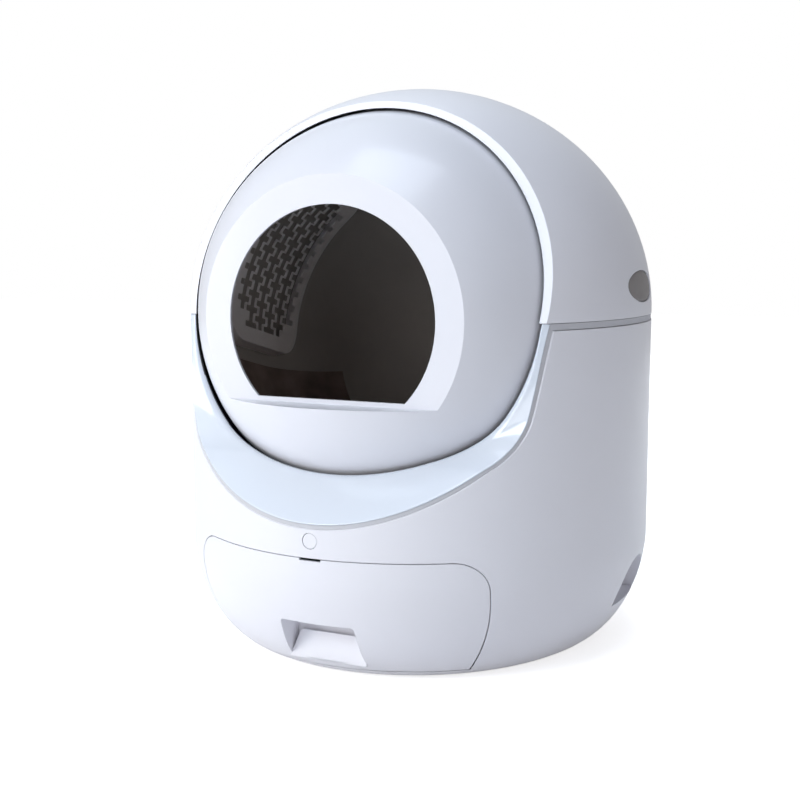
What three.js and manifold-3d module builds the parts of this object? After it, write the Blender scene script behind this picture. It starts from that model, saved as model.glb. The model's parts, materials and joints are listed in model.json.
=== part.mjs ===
// Self cleaning litter box: an egg-shaped cabinet round a tilted drum that turns
// on rollers, with a lift-off hood, a mouth bezel and a waste drawer.
// Millimetres, +Z up, front towards -Y, origin on the floor under the centre.
import * as THREE from 'three';
import { mergeVertices } from 'three/addons/utils/BufferGeometryUtils.js';
import Module from 'manifold-3d';

const wasm = await Module();
wasm.setup();
const { Manifold, Mesh: SolidMesh } = wasm;

// Fits
const seatGap = 0.3;
const seamGap = 0.6;
const overrun = 40;
const segments = 36;
const holeSegments = 12;

// Drum: round front, short barrel, round back, tilted with its mouth up
const drumTilt = THREE.MathUtils.degToRad(13.6);
const drumRadius = 214;
const drumWall = 3;
const barrelLength = 60;
const drumRunningGap = 2.5;
const drumRows = 6;
const drumBackRows = 4;
const drumSplit = 17;

// Cabinet round the drum: oval plan, upright flank, round crown, drawn-in foot
const drumSideRoom = 40;
const drumTopRoom = 29;
const drumDeckRoom = 24.6;
const drumProud = 8.8;
const ovalStretch = 19;
const seamDrop = 1.6;
const deckTop = 120;
const footInset = 67;
const footRise = 113;
const footRoundness = 1.8;
const shellWall = 3;
const footGap = 3;
const crownRows = 6;
const footRows = 4;
const bodyHalfWidth = drumRadius + drumSideRoom;
const bodyHalfDepth = bodyHalfWidth + ovalStretch;
const drumCentreY = drumRadius - drumProud - bodyHalfDepth;
const drumCentreZ = deckTop + drumDeckRoom + drumRadius;
const seamHeight = drumCentreZ - seamDrop;
const bodyHeight = seamHeight + drumRadius + drumTopRoom;

// Entry: a flat face cut off the front of the drum, with a doorway and a sill
const faceCut = 52.5;
const doorRadius = 111.5;
const sillCut = 29.5;
const doorLipHeight = 4.5;
const doorSteps = 40;
const faceDistance = drumRadius - faceCut;
const sillDrop = doorRadius - sillCut;

// Mouth of the cabinet round the drum, with a knee in its lower front
const mouthCut = 117;
const mouthKneeInset = 84.8;
const mouthKneeRise = 94.4;
const mouthFrontSlope = THREE.MathUtils.degToRad(43.6);
const mouthBend = 90;
const mouthBendSteps = 5;
const mouthSetback = 7;
const armSlope = THREE.MathUtils.degToRad(20);
const bezelWall = 3;
const bezelLip = 1.2;
const bezelFlange = 12;
const trimWidth = 3.2;
const trimBand = 6.6;
const trimRecess = 0.8;
const mouthDistance = drumRadius - mouthCut;
const mouthKneeY = drumCentreY - drumRadius + mouthKneeInset;
const mouthKneeZ = drumCentreZ - drumRadius + mouthKneeRise;

// Hood buttons: oval pads in both flanks
const padHalfLength = 47;
const padHalfHeight = 16;
const padRise = 31;
const padDepth = 16;
const padSkin = 10;
const padRecess = 0.8;
const padTravel = 4;
const padRim = 2.5;
const padRimReach = 1.6;
const padSleeve = 2;
const ovalSegments = 16;
const padEdge = 2.4;
const padHeight = seamHeight + padRise;

// Drawer
const drawerRise = 12;
const drawerFloor = 12;
const drawerInset = 93;
const drawerFlare = 30;
const drawerFlareHeight = 78;
const drawerCorner = 30;
const cornerSteps = 5;
const drawerGap = 0.8;
const drawerPanel = 3;
const binWall = 2.4;
const binDrop = 12;
const binSideGap = 6;
const notchHalfWidth = 11.5;
const notchDepth = 2;
const drawerTop = deckTop + drawerRise;
const drawerHalfWidth = bodyHalfWidth - drawerInset;
const drawerFootHalfWidth = drawerHalfWidth - drawerFlare;
const binTop = deckTop - binDrop;

// Finger pull in the drawer front
const pullHalfWidth = 39;
const pullFlare = 4;
const pullTop = 65;
const pullBottom = 19;
const pullDepth = 51;
const pullRampTop = 52;
const pullRampReach = 5.5;
const pullBackY = pullDepth - bodyHalfDepth;

// Front button
const buttonRise = 17.6;
const buttonRadius = 7.6;
const buttonDepth = 6.6;
const buttonGap = 0.4;
const buttonHeadRadius = 10;
const buttonHead = 2;
const switchHalfWidth = 14;
const switchDepth = 6;
const switchWall = 2;
const springRadius = 4.6;
const springWire = 0.6;
const springTurns = 4;
const springSpan = 6;
const springSides = 5;
const springStepsPerTurn = 8;
const buttonHeight = drawerTop + buttonRise;

// Hand grips low in both flanks
const gripHalfWidth = 48;
const gripFloor = 55;
const gripRise = 50;
const gripDepth = 32;
const gripOutlineShares = [[-1, 0], [-0.94, 0.5], [-0.66, 0.84], [0, 1], [0.66, 0.84], [0.94, 0.5], [1, 0]];
const gripX = bodyHalfWidth - gripDepth;

// Floor plate and feet
const plateBottom = 4;
const plateWall = 3;
const plateEdgeGap = 0.5;
const footRadius = 15;
const footSideRoom = 75;
const footEndRoom = 84;
const railWidth = 5;
const railInset = 65;
const boardPostRadius = 4;
const boardPostHeight = 9;
const footX = bodyHalfWidth - footInset - footSideRoom;
const footY = bodyHalfDepth - footInset - footEndRoom;
const railX = drawerHalfWidth - railInset;

// Waste port in the back shell of the drum
const portHalfAngle = THREE.MathUtils.degToRad(21);
const portSetback = 6;
const portLength = 66;
const portRim = 5;
const portFront = -barrelLength - portSetback;
const portBack = portFront - portLength;

// Inner frame that carries the drum and covers the drawer bay
const deckWall = 3;
const deckEdgeGap = 0.5;
const bayGap = 11;
const bayWall = 3;
const bayBackRoom = 181;
const bayFrontRoom = 123;
const binBackGap = 8;
const chuteSideGap = 7.3;
const chuteFrontGap = 22;
const chuteBackGap = 17.8;
const chuteWall = 2.5;
const chuteRise = 6;
const chuteDrop = 7;
const bayHalfWidth = drawerHalfWidth + bayGap;
const bayBack = bodyHalfDepth - bayBackRoom;
const bayFront = bayFrontRoom - bodyHalfDepth;
const binBack = bayBack - binBackGap;
const chuteHalfWidth = drumRadius * Math.sin(portHalfAngle) + chuteSideGap;
const chuteFront = portFallY(portFront) - chuteFrontGap;
const chuteBack = portFallY(portBack) + chuteBackGap;

// Support rollers
const rollerRadius = 16;
const rollerWidth = 12;
const rollerAngle = THREE.MathUtils.degToRad(32);
const frontTrack = 5;
const trackSpan = 45;
const axleRadius = 4;
const axleGap = 0.3;
const cheekWall = 4;
const cheekGap = 0.8;
const cheekHalfWidth = 13;
const bracketFoot = 5;
const rollerTyre = 4;
const rollerDish = 3;
const rearTrack = frontTrack + trackSpan;
const rollerBore = axleRadius + axleGap;

// Ring gear, pinion and motor
const gearModule = 5;
const gearRim = 0.6;
const pinionTeeth = 10;
const gearFront = 20;
const gearWidth = 12;
const toothShares = [0.2, 0.36, 0.64, 0.8];
const addendumShare = 0.8;
const dedendumShare = 1.0;
const driveAngle = THREE.MathUtils.degToRad(50);
const pinionOverhang = 1;
const pinionShaft = 4;
const motorRadius = 19;
const motorLength = 66;
const motorBoss = 7;
const motorBossLength = 3;
const motorCapRadius = 12;
const motorCapLength = 5;
const mountWall = 4;
const mountHalfWidth = 26;
const mountGap = 2;
const mountFootLength = 46;
const gearTeeth = Math.ceil((2 * (drumRadius + seatGap + gearRim + gearModule * dedendumShare)) / gearModule);

// Hub at the back of the drum
const hubRadius = 22;
const hubSink = 8;
const stubRadius = 10;
const stubLength = 20;
const bearingWall = 5;
const bearingLength = 14;
const postRadius = 24;
const postWall = 12;
const postHalfWidth = 30;

// Sieve panel inside the drum
const sieveStandOff = 26;
const sieveWall = 3;
const sieveTopAngle = THREE.MathUtils.degToRad(34);
const sieveLowAngle = THREE.MathUtils.degToRad(102);
const sieveFront = 38;
const sieveLength = 156;
const sieveCorner = 34;
const sieveBorder = 11;
const slotPitch = 21;
const slotPeriod = 18;
const slotHalfWide = 12;
const slotHalfNarrow = 4;
const slotWeb = 2.2;
const sieveStep = 24;
const sieveRadius = drumRadius - sieveStandOff;
const sieveBack = sieveFront - sieveLength;

// Litter liner in the bottom of the drum
const linerWall = 2.5;
const linerLeftAngle = THREE.MathUtils.degToRad(74);
const linerRightAngle = THREE.MathUtils.degToRad(122);
const linerOverlap = 11;
const linerReach = 130;
const linerFront = mouthDistance + linerOverlap;
const linerBack = -barrelLength - linerReach;

// Electronics
const boardHalfWidth = 55;
const boardGap = 30;
const boardLength = 70;
const boardWall = 1.6;
const inletX = 70;
const inletZ = 58;
const inletRadius = 8;
const inletBore = 3.2;
const inletDepth = 18;
const inletFlange = 11;
const inletFlangeWall = 2;
const boardFront = bayBack + boardGap;
const boardBack = boardFront + boardLength;

// How far back waste falls from a place in the port when the port is turned down
function portFallY(along) {
  return drumCentreY - along * Math.cos(drumTilt) - drumRadius * Math.sin(drumTilt);
}

const quarterTurn = Math.PI / 2;
const planStretch = bodyHalfDepth / bodyHalfWidth;

// Directions of the drum: out of its mouth, and up across it
const drumCentre = new THREE.Vector3(0, drumCentreY, drumCentreZ);
const mouthDirection = new THREE.Vector3(0, -Math.cos(drumTilt), Math.sin(drumTilt));
const acrossDirection = new THREE.Vector3(0, Math.sin(drumTilt), Math.cos(drumTilt));
const drumFrame = new THREE.Matrix4()
  .makeBasis(new THREE.Vector3(1, 0, 0), acrossDirection, mouthDirection)
  .setPosition(drumCentre);

// A closed geometry as a solid, with its faces turned outwards
function solid(geometry) {
  const bare = new THREE.BufferGeometry();
  bare.setAttribute('position', geometry.getAttribute('position').clone());
  if (geometry.index) {
    bare.setIndex(geometry.index.clone());
  }
  const merged = mergeVertices(bare);
  const positions = merged.getAttribute('position').array;
  const source = merged.index.array;
  const kept = [];
  let volume = 0;
  const corner = [new THREE.Vector3(), new THREE.Vector3(), new THREE.Vector3()];
  for (let i = 0; i < source.length; i += 3) {
    const [a, b, c] = [source[i], source[i + 1], source[i + 2]];
    if (a === b || b === c || c === a) {
      continue;
    }
    [a, b, c].forEach((index, n) => corner[n].fromArray(positions, index * 3));
    volume += corner[0].dot(corner[1].clone().cross(corner[2]));
    kept.push(a, b, c);
  }
  if (volume < 0) {
    kept.reverse();
  }
  const mesh = new SolidMesh({
    numProp: 3,
    vertProperties: new Float32Array(positions),
    triVerts: new Uint32Array(kept),
  });
  return new Manifold(mesh);
}

function geometryOf(body) {
  const mesh = body.getMesh();
  const geometry = new THREE.BufferGeometry();
  geometry.setAttribute('position', new THREE.BufferAttribute(new Float32Array(mesh.vertProperties), 3));
  geometry.setIndex(new THREE.BufferAttribute(new Uint32Array(mesh.triVerts), 1));
  geometry.computeVertexNormals();
  return geometry;
}

function joined(...bodies) {
  return bodies.reduce((whole, body) => whole.add(body));
}

function cut(body, ...tools) {
  return tools.reduce((rest, tool) => rest.subtract(tool), body);
}

// The largest piece of a cut, without the crumbs that a cut leaves
function mainPiece(body) {
  const largest = (whole) => whole.decompose().reduce((best, piece) => (piece.volume() > best.volume() ? piece : best));
  return largest(solid(geometryOf(largest(body))));
}

// A turned solid about +Z from [radius, height] points, closed if it is a ring
function turned(points, steps = segments) {
  const geometry = new THREE.LatheGeometry(points.map(([r, z]) => new THREE.Vector2(r, z)), steps);
  geometry.rotateX(quarterTurn);
  return geometry;
}

function ring(inner, outer, low, high, steps = segments) {
  return turned([[inner, low], [outer, low], [outer, high], [inner, high], [inner, low]], steps);
}

function disc(radius, low, high, steps = segments) {
  return turned([[0, low], [radius, low], [radius, high], [0, high]], steps);
}

function inDrum(geometry) {
  return solid(geometry.applyMatrix4(drumFrame));
}

function outlineOf(points) {
  return new THREE.Shape(points.map(([a, b]) => new THREE.Vector2(a, b)));
}

// Straight prisms: along X from (y, z), along Y from (x, z), along Z from (x, y)
function prismX(points, from, to) {
  const geometry = new THREE.ExtrudeGeometry(outlineOf(points), { depth: to - from, bevelEnabled: false });
  geometry.applyMatrix4(new THREE.Matrix4().set(0, 0, 1, from, 1, 0, 0, 0, 0, 1, 0, 0, 0, 0, 0, 1));
  return solid(geometry);
}

function prismY(points, from, to) {
  const geometry = new THREE.ExtrudeGeometry(outlineOf(points), { depth: to - from, bevelEnabled: false });
  geometry.applyMatrix4(new THREE.Matrix4().set(1, 0, 0, 0, 0, 0, 1, from, 0, 1, 0, 0, 0, 0, 0, 1));
  return solid(geometry);
}

function block(x0, x1, y0, y1, z0, z1) {
  const geometry = new THREE.BoxGeometry(x1 - x0, y1 - y0, z1 - z0);
  geometry.translate((x0 + x1) / 2, (y0 + y1) / 2, (z0 + z1) / 2);
  return solid(geometry);
}

// A round bar along Y
function barY(radius, x, z, from, to, steps = holeSegments) {
  const geometry = new THREE.CylinderGeometry(radius, radius, to - from, steps);
  geometry.translate(x, (from + to) / 2, z);
  return solid(geometry);
}

// A round bar along Z
function barZ(radius, x, y, from, to, steps = holeSegments) {
  const geometry = new THREE.CylinderGeometry(radius, radius, to - from, steps);
  geometry.rotateX(quarterTurn);
  geometry.translate(x, y, (from + to) / 2);
  return solid(geometry);
}

// A flank outline of the cabinet set in by a wall, from the floor edge to the crown
function flankOutline(inset) {
  const points = [];
  for (let i = 0; i <= footRows; i += 1) {
    const rise = Math.sin((quarterTurn * i) / footRows) ** 2;
    const drop = (1 - rise) ** footRoundness;
    const share = (1 - drop) ** (1 / footRoundness);
    points.push([bodyHalfWidth - footInset * (1 - share), footRise * rise]);
  }
  for (let i = 0; i <= crownRows; i += 1) {
    const angle = (quarterTurn * i) / crownRows;
    points.push([bodyHalfWidth * Math.cos(angle), seamHeight + (bodyHeight - seamHeight) * Math.sin(angle)]);
  }
  if (inset === 0) {
    points[points.length - 1][0] = 0;
    return points;
  }
  return points.map(([r, z], i) => {
    const [r0, z0] = points[Math.max(i - 1, 0)];
    const [r1, z1] = points[Math.min(i + 1, points.length - 1)];
    const length = Math.hypot(r1 - r0, z1 - z0);
    const level = i === points.length - 1;
    return level ? [0, z - inset] : [r - (inset * (z1 - z0)) / length, z + (inset * (r1 - r0)) / length];
  });
}

// The cabinet's outer form set in by a wall, as a full solid
function cabinet(inset) {
  const points = flankOutline(inset);
  const geometry = turned([[0, points[0][1]], ...points]);
  geometry.scale(1, planStretch, 1);
  return solid(geometry);
}

// The drum's form grown by a gap, as an outline about its own axis
function drumOutline(growth) {
  const radius = drumRadius + growth;
  const points = [];
  for (let i = 0; i <= drumRows; i += 1) {
    const angle = (quarterTurn * i) / drumRows;
    points.push([i === 0 ? 0 : radius * Math.sin(angle), radius * Math.cos(angle)]);
  }
  for (let i = 0; i <= drumBackRows; i += 1) {
    const angle = (quarterTurn * i) / drumBackRows;
    points.push([i === drumBackRows ? 0 : radius * Math.cos(angle), -barrelLength - radius * Math.sin(angle)]);
  }
  return points;
}

function drumForm(growth) {
  return inDrum(turned(drumOutline(growth)));
}

const outerCabinet = cabinet(0);
const innerCabinet = cabinet(shellWall);
const seatedCabinet = cabinet(shellWall + seatGap);
const cabinetWall = cut(outerCabinet, innerCabinet);
const drumSweep = drumForm(drumRunningGap);
const far = bodyHeight + overrun;

// All that lies behind the mouth of the cabinet, with its surface set back.
// The two arms lie on a shallow cone, and below them a bent sheet runs forward.
function behindMouth(setback) {
  const axis = mouthDistance - setback;
  const lipRadius = Math.sqrt((drumRadius + drumRunningGap) ** 2 - mouthDistance ** 2);
  const spread = bodyHeight;
  const cone = inDrum(turned([
    [0, -spread],
    [spread, -spread],
    [spread, axis - (spread - lipRadius) * Math.tan(armSlope)],
    [lipRadius, axis],
    [0, axis],
  ]));
  const points = bentOutline(setback);
  const sheet = prismX(points, -bodyHeight, bodyHeight);
  return joined(cone, sheet);
}

// The bent sheet seen from the side: steep under the arms, then forward and down
function bentOutline(setback) {
  const steep = new THREE.Vector2(Math.sin(drumTilt), Math.cos(drumTilt));
  const shallow = new THREE.Vector2(-Math.cos(mouthFrontSlope), -Math.sin(mouthFrontSlope));
  const knee = new THREE.Vector2(mouthKneeY, mouthKneeZ);
  const bendAngle = Math.acos(-steep.dot(shallow));
  const tangent = mouthBend * Math.tan(bendAngle / 2);
  const start = knee.clone().addScaledVector(steep, tangent);
  const normal = new THREE.Vector2(-Math.cos(drumTilt), Math.sin(drumTilt));
  const centre = start.clone().addScaledVector(normal, mouthBend);
  const points = [];
  const reach = bodyHeight;
  const top = start.clone().addScaledVector(steep, reach).addScaledVector(normal, -mouthSetback - setback);
  points.push([top.x, top.y]);
  const radius = mouthBend + setback;
  for (let i = 0; i <= mouthBendSteps; i += 1) {
    const angle = (bendAngle * i) / mouthBendSteps;
    const blend = mouthSetback * (1 - i / mouthBendSteps);
    const spoke = normal.clone().negate().rotateAround(new THREE.Vector2(0, 0), -angle);
    const point = centre.clone().addScaledVector(spoke, radius + blend);
    points.push([point.x, point.y]);
  }
  const last = new THREE.Vector2(...points[points.length - 1]).addScaledVector(shallow, reach);
  points.push([last.x, last.y], [last.x, -far], [far, -far], [far, top.y]);
  return points;
}

const belowSeam = (z) => block(-far, far, -far, far, -far, z);
const aboveSeam = (z) => block(-far, far, -far, far, z, far);

const trimBack = bezelLip + seatGap + trimWidth;
const trimTop = seamHeight - seamGap;
const trimBottom = seamHeight - trimBand;
const baseRegion = behindMouth(trimBack + seamGap).intersect(belowSeam(trimBottom - seamGap));

// Drawer outline across the front, grown or drawn in
function drawerOutline(growth) {
  const side = drawerHalfWidth + growth;
  const foot = drawerFootHalfWidth + growth;
  const top = drawerTop + growth;
  const floor = drawerFloor - growth;
  const corner = drawerCorner + growth;
  const right = [[foot, floor], [side, drawerFlareHeight]];
  for (let i = 0; i <= cornerSteps; i += 1) {
    const angle = (quarterTurn * i) / cornerSteps;
    right.push([side - corner + corner * Math.cos(angle), top - corner + corner * Math.sin(angle)]);
  }
  const left = right.map(([x, z]) => [-x, z]).reverse();
  return [...right, ...left];
}

// Finger pull: a pocket under a lip, with a ramp that runs out at the foot
function pullPocket(growth) {
  const front = -bodyHalfDepth - overrun;
  const rampFront = pullBackY - pullRampReach;
  const profile = [
    [front, pullTop + growth],
    [pullBackY + growth, pullTop + growth],
    [pullBackY + growth, pullRampTop - growth],
    [rampFront, pullBottom - growth],
    [front, pullBottom - growth],
  ];
  const top = pullHalfWidth + growth;
  const foot = pullHalfWidth + pullFlare + growth;
  const sides = prismY([[-foot, -overrun], [foot, -overrun], [top, pullTop + growth], [-top, pullTop + growth]],
    front, pullBackY + growth + overrun);
  return prismX(profile, -foot, foot).intersect(sides);
}

// Hand grip pocket in a flank
function gripPocket(side, growth) {
  const points = gripOutlineShares.map(([a, b]) => [
    a * (gripHalfWidth + growth),
    gripFloor - growth + b * (gripRise + 2 * growth),
  ]);
  const inner = gripX - growth;
  return side > 0 ? prismX(points, inner, far) : prismX(points, -far, -inner);
}

function baseShell() {
  let shell = cabinetWall.intersect(baseRegion).intersect(aboveSeam(footGap));
  for (const side of [-1, 1]) {
    const cup = outerCabinet.intersect(gripPocket(side, shellWall));
    shell = cut(shell.add(cup), gripPocket(side, 0));
  }
  const doorway = prismY(drawerOutline(drawerGap), -far, 0);
  const buttonHole = barY(buttonRadius + buttonGap, 0, buttonHeight, -far, 0);
  const inletHole = barY(inletRadius + seatGap, inletX, inletZ, 0, far);
  return cut(shell, doorway, buttonHole, inletHole);
}

function mouthBezel() {
  const sheet = cut(behindMouth(0), behindMouth(bezelWall));
  const flangeBody = cut(drumForm(drumRunningGap + bezelWall), drumSweep);
  const flange = flangeBody.intersect(cut(behindMouth(0), behindMouth(bezelFlange)));
  const edgeZone = cut(outerCabinet, cabinet(shellWall + seatGap)).intersect(behindMouth(bezelLip));
  const sides = joined(sheet, flange).intersect(outerCabinet).intersect(belowSeam(trimTop));
  const front = block(-far, far, -far, drumCentreY, 0, far);
  return mainPiece(cut(sides.intersect(front), drumSweep, edgeZone));
}

function seamTrim() {
  const wall = cut(cabinet(trimRecess), cabinet(shellWall));
  const region = behindMouth(bezelLip + seatGap).intersect(belowSeam(trimTop));
  const rest = behindMouth(trimBack).intersect(belowSeam(trimBottom));
  return wall.intersect(region).subtract(rest);
}

// The oval outline of a hood button, grown by a gap
function padOutline(growth) {
  const points = [];
  for (let i = 0; i < ovalSegments; i += 1) {
    const angle = (2 * Math.PI * i) / ovalSegments;
    points.push([(padHalfLength + growth) * Math.cos(angle), padHeight + (padHalfHeight + growth) * Math.sin(angle)]);
  }
  return points;
}

// A slice of the pad's oval between two depths from the widest point of the flank
function padSlice(side, growth, from, to) {
  const points = padOutline(growth);
  const outer = bodyHalfWidth - from;
  const inner = bodyHalfWidth - to;
  return side > 0 ? prismX(points, inner, outer) : prismX(points, -outer, -inner);
}

function hoodShell() {
  const front = inDrum(disc(far, -far, mouthDistance));
  const behindFace = inDrum(disc(far, -far, mouthDistance - shellWall));
  const face = cut(front, behindFace).intersect(outerCabinet);
  const dome = cabinetWall.intersect(front);
  let hood = joined(dome, face).intersect(aboveSeam(seamHeight));
  const sleeveFloor = padDepth + padTravel + seatGap;
  for (const side of [-1, 1]) {
    const sleeve = padSlice(side, seamGap + padRimReach + padSleeve, -overrun, sleeveFloor + padSleeve);
    const mouth = padSlice(side, seamGap, -overrun, sleeveFloor);
    const wide = padSlice(side, seamGap + padRimReach, padDepth - padRim - seatGap, sleeveFloor);
    hood = cut(hood.add(sleeve.intersect(outerCabinet)), mouth, wide);
  }
  return cut(hood, drumSweep);
}

// A pad with a rim at its back that holds it behind the sleeve's narrow mouth
function hoodButton(side) {
  const stem = padSlice(side, 0, -overrun, padDepth).intersect(cabinet(padRecess));
  const rim = padSlice(side, padRimReach, padDepth - padRim, padDepth);
  const hollow = padSlice(side, -padEdge, padSkin, padDepth + overrun);
  return cut(joined(stem, rim), hollow);
}

// The entry cut: what is taken off the front of the drum above the sill
function entryCut(inset) {
  const faceY = drumCentreY - faceDistance + inset;
  const sillZ = drumCentreZ - sillDrop - inset;
  return block(-far, far, -far, faceY, sillZ, far);
}

function doorway() {
  const faceY = drumCentreY - faceDistance;
  const points = [];
  const lipZ = -sillDrop + doorLipHeight;
  const start = Math.asin(lipZ / doorRadius);
  for (let i = 0; i <= doorSteps; i += 1) {
    const angle = start + ((Math.PI - 2 * start) * i) / doorSteps;
    points.push([doorRadius * Math.cos(angle), drumCentreZ + doorRadius * Math.sin(angle)]);
  }
  return prismY(points, faceY - overrun, faceY + overrun);
}

function drumFront() {
  const half = inDrum(disc(far, -drumSplit, far));
  const outer = cut(drumForm(0), entryCut(0));
  const inner = cut(drumForm(-drumWall), entryCut(drumWall));
  return cut(outer, inner, doorway()).intersect(half);
}

// A wedge about the drum's axis, from one angle to another, 0 being straight up
function drumWedge(from, to, radius, back, front) {
  const steps = 8;
  const points = [[0, 0]];
  for (let i = 0; i <= steps; i += 1) {
    const angle = from + ((to - from) * i) / steps;
    points.push([radius * Math.sin(angle), radius * Math.cos(angle)]);
  }
  const geometry = new THREE.ExtrudeGeometry(outlineOf(points), { depth: front - back, bevelEnabled: false });
  geometry.translate(0, 0, back);
  return inDrum(geometry);
}

function drumRear() {
  const half = inDrum(disc(far, -far, -drumSplit - seatGap));
  const pole = -barrelLength - drumRadius;
  const shell = cut(drumForm(0), drumForm(-drumWall));
  const hub = inDrum(disc(hubRadius, pole - hubSink / 2, pole + hubSink, holeSegments));
  const stub = inDrum(disc(stubRadius, pole - hubSink / 2 - stubLength, pole, holeSegments));
  const rim = cut(drumForm(0), drumForm(-drumWall - portRim))
    .intersect(drumWedge(-portHalfAngle - portRim / drumRadius, portHalfAngle + portRim / drumRadius,
      far, portBack - portRim, portFront + portRim));
  const port = drumWedge(-portHalfAngle, portHalfAngle, far, portBack, portFront);
  return cut(joined(shell.intersect(half), hub, stub, rim), port);
}

// A toothed outline on a pitch circle
function gearOutline(teeth, inward) {
  const pitchRadius = (gearModule * teeth) / 2;
  const tip = pitchRadius + gearModule * addendumShare;
  const root = pitchRadius - gearModule * dedendumShare;
  const points = [];
  for (let i = 0; i < teeth; i += 1) {
    toothShares.forEach((share, n) => {
      const angle = (2 * Math.PI * (i + share + inward)) / teeth;
      const radius = n === 1 || n === 2 ? tip : root;
      points.push([radius * Math.cos(angle), radius * Math.sin(angle)]);
    });
  }
  return points;
}

function ringGear() {
  const shape = outlineOf(gearOutline(gearTeeth, 0));
  const bore = new THREE.Path();
  bore.setFromPoints(circlePoints(drumRadius + seatGap));
  shape.holes.push(bore);
  const geometry = new THREE.ExtrudeGeometry(shape, { depth: gearWidth, bevelEnabled: false });
  geometry.translate(0, 0, -gearFront - gearWidth);
  return inDrum(geometry);
}

function circlePoints(radius, steps = segments) {
  const points = [];
  for (let i = 0; i < steps; i += 1) {
    const angle = (2 * Math.PI * i) / steps;
    points.push(new THREE.Vector2(radius * Math.cos(angle), radius * Math.sin(angle)));
  }
  return points;
}

// Where a turning piece sits beside the drum: swing from straight down, and way back
function besideDrum(radius, swing, back) {
  return new THREE.Vector3(radius * Math.sin(swing), -radius * Math.cos(swing), -back);
}

const gearCentreDistance = (gearModule * (gearTeeth + pinionTeeth)) / 2;
const pinionPlace = besideDrum(gearCentreDistance, driveAngle, gearFront + gearWidth / 2);

// The pinion turned so that a gap of it faces a tooth of the ring gear
function pinionPhase() {
  const towards = Math.atan2(-pinionPlace.y, -pinionPlace.x);
  const outwards = Math.atan2(pinionPlace.y, pinionPlace.x);
  const ringPhase = ((outwards / (2 * Math.PI)) * gearTeeth) - 0.5;
  const offset = ringPhase - Math.floor(ringPhase);
  const own = ((towards / (2 * Math.PI)) * pinionTeeth) - 0.5;
  return own + 0.5 + offset;
}

function drivePinion() {
  const width = gearWidth + 2 * pinionOverhang;
  const shape = outlineOf(gearOutline(pinionTeeth, pinionPhase()));
  const geometry = new THREE.ExtrudeGeometry(shape, { depth: width, bevelEnabled: false });
  geometry.translate(pinionPlace.x, pinionPlace.y, pinionPlace.z - width / 2);
  const back = pinionPlace.z - width / 2 - mountGap - mountWall - motorBossLength;
  const shaft = disc(pinionShaft, back, pinionPlace.z, holeSegments);
  shaft.translate(pinionPlace.x, pinionPlace.y, 0);
  return joined(inDrum(geometry), inDrum(shaft));
}

// Motor along the drum's axis, behind its mounting plate
const mountFront = pinionPlace.z - gearWidth / 2 - pinionOverhang - mountGap;
const motorFront = mountFront - mountWall - seatGap;

function atPinion(geometry) {
  geometry.translate(pinionPlace.x, pinionPlace.y, 0);
  return inDrum(geometry);
}

function driveMotor() {
  const can = disc(motorRadius, motorFront - motorLength, motorFront, holeSegments);
  const boss = disc(motorBoss, motorFront - seatGap, motorFront + motorBossLength, holeSegments);
  const cap = disc(motorCapRadius, motorFront - motorLength - motorCapLength, motorFront - motorLength, holeSegments);
  const bore = disc(pinionShaft + seatGap, motorFront - motorBossLength, mountFront, holeSegments);
  return cut(joined(atPinion(can), atPinion(boss), atPinion(cap)), atPinion(bore));
}

function motorMount() {
  const low = deckTop + seatGap;
  const plate = new THREE.BoxGeometry(2 * mountHalfWidth, bodyHalfWidth, mountWall);
  plate.translate(0, mountHalfWidth - bodyHalfWidth / 2, mountFront - mountWall / 2);
  const hole = disc(motorBoss + seatGap, mountFront - overrun, mountFront + overrun, holeSegments);
  const standing = cut(atPinion(plate), atPinion(hole)).intersect(aboveSeam(low));
  const place = pinionPlace.clone().setZ(mountFront).applyMatrix4(drumFrame);
  const drop = (place.z - low) * Math.tan(drumTilt);
  const footY0 = place.y - drop - mountWall;
  const foot = block(place.x - mountHalfWidth, place.x + mountHalfWidth, footY0, footY0 + mountFootLength,
    low, low + mountWall);
  return cut(joined(standing, foot).intersect(seatedCabinet), drumSweep);
}

const rollers = [
  { name: 'front_left', side: -1, track: frontTrack },
  { name: 'front_right', side: 1, track: frontTrack },
  { name: 'rear_left', side: -1, track: rearTrack },
  { name: 'rear_right', side: 1, track: rearTrack },
];

function rollerPlace({ side, track }) {
  return besideDrum(drumRadius + rollerRadius + seatGap, side * rollerAngle, track);
}

function supportRoller(roller) {
  const place = rollerPlace(roller);
  const half = rollerWidth / 2;
  const web = rollerRadius - rollerTyre;
  const body = turned([
    [rollerBore, -half],
    [rollerRadius, -half],
    [rollerRadius, half],
    [web, half],
    [web, half - rollerDish],
    [rollerBore + rollerTyre, half - rollerDish],
    [rollerBore + rollerTyre, half],
    [rollerBore, half],
    [rollerBore, -half],
  ], holeSegments);
  body.translate(place.x, place.y, place.z);
  return inDrum(body);
}

function rollerAxle(roller) {
  const place = rollerPlace(roller);
  const half = rollerWidth / 2 + cheekGap + cheekWall;
  const pin = disc(axleRadius, -half, half, holeSegments);
  pin.translate(place.x, place.y, place.z);
  return inDrum(pin);
}

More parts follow.
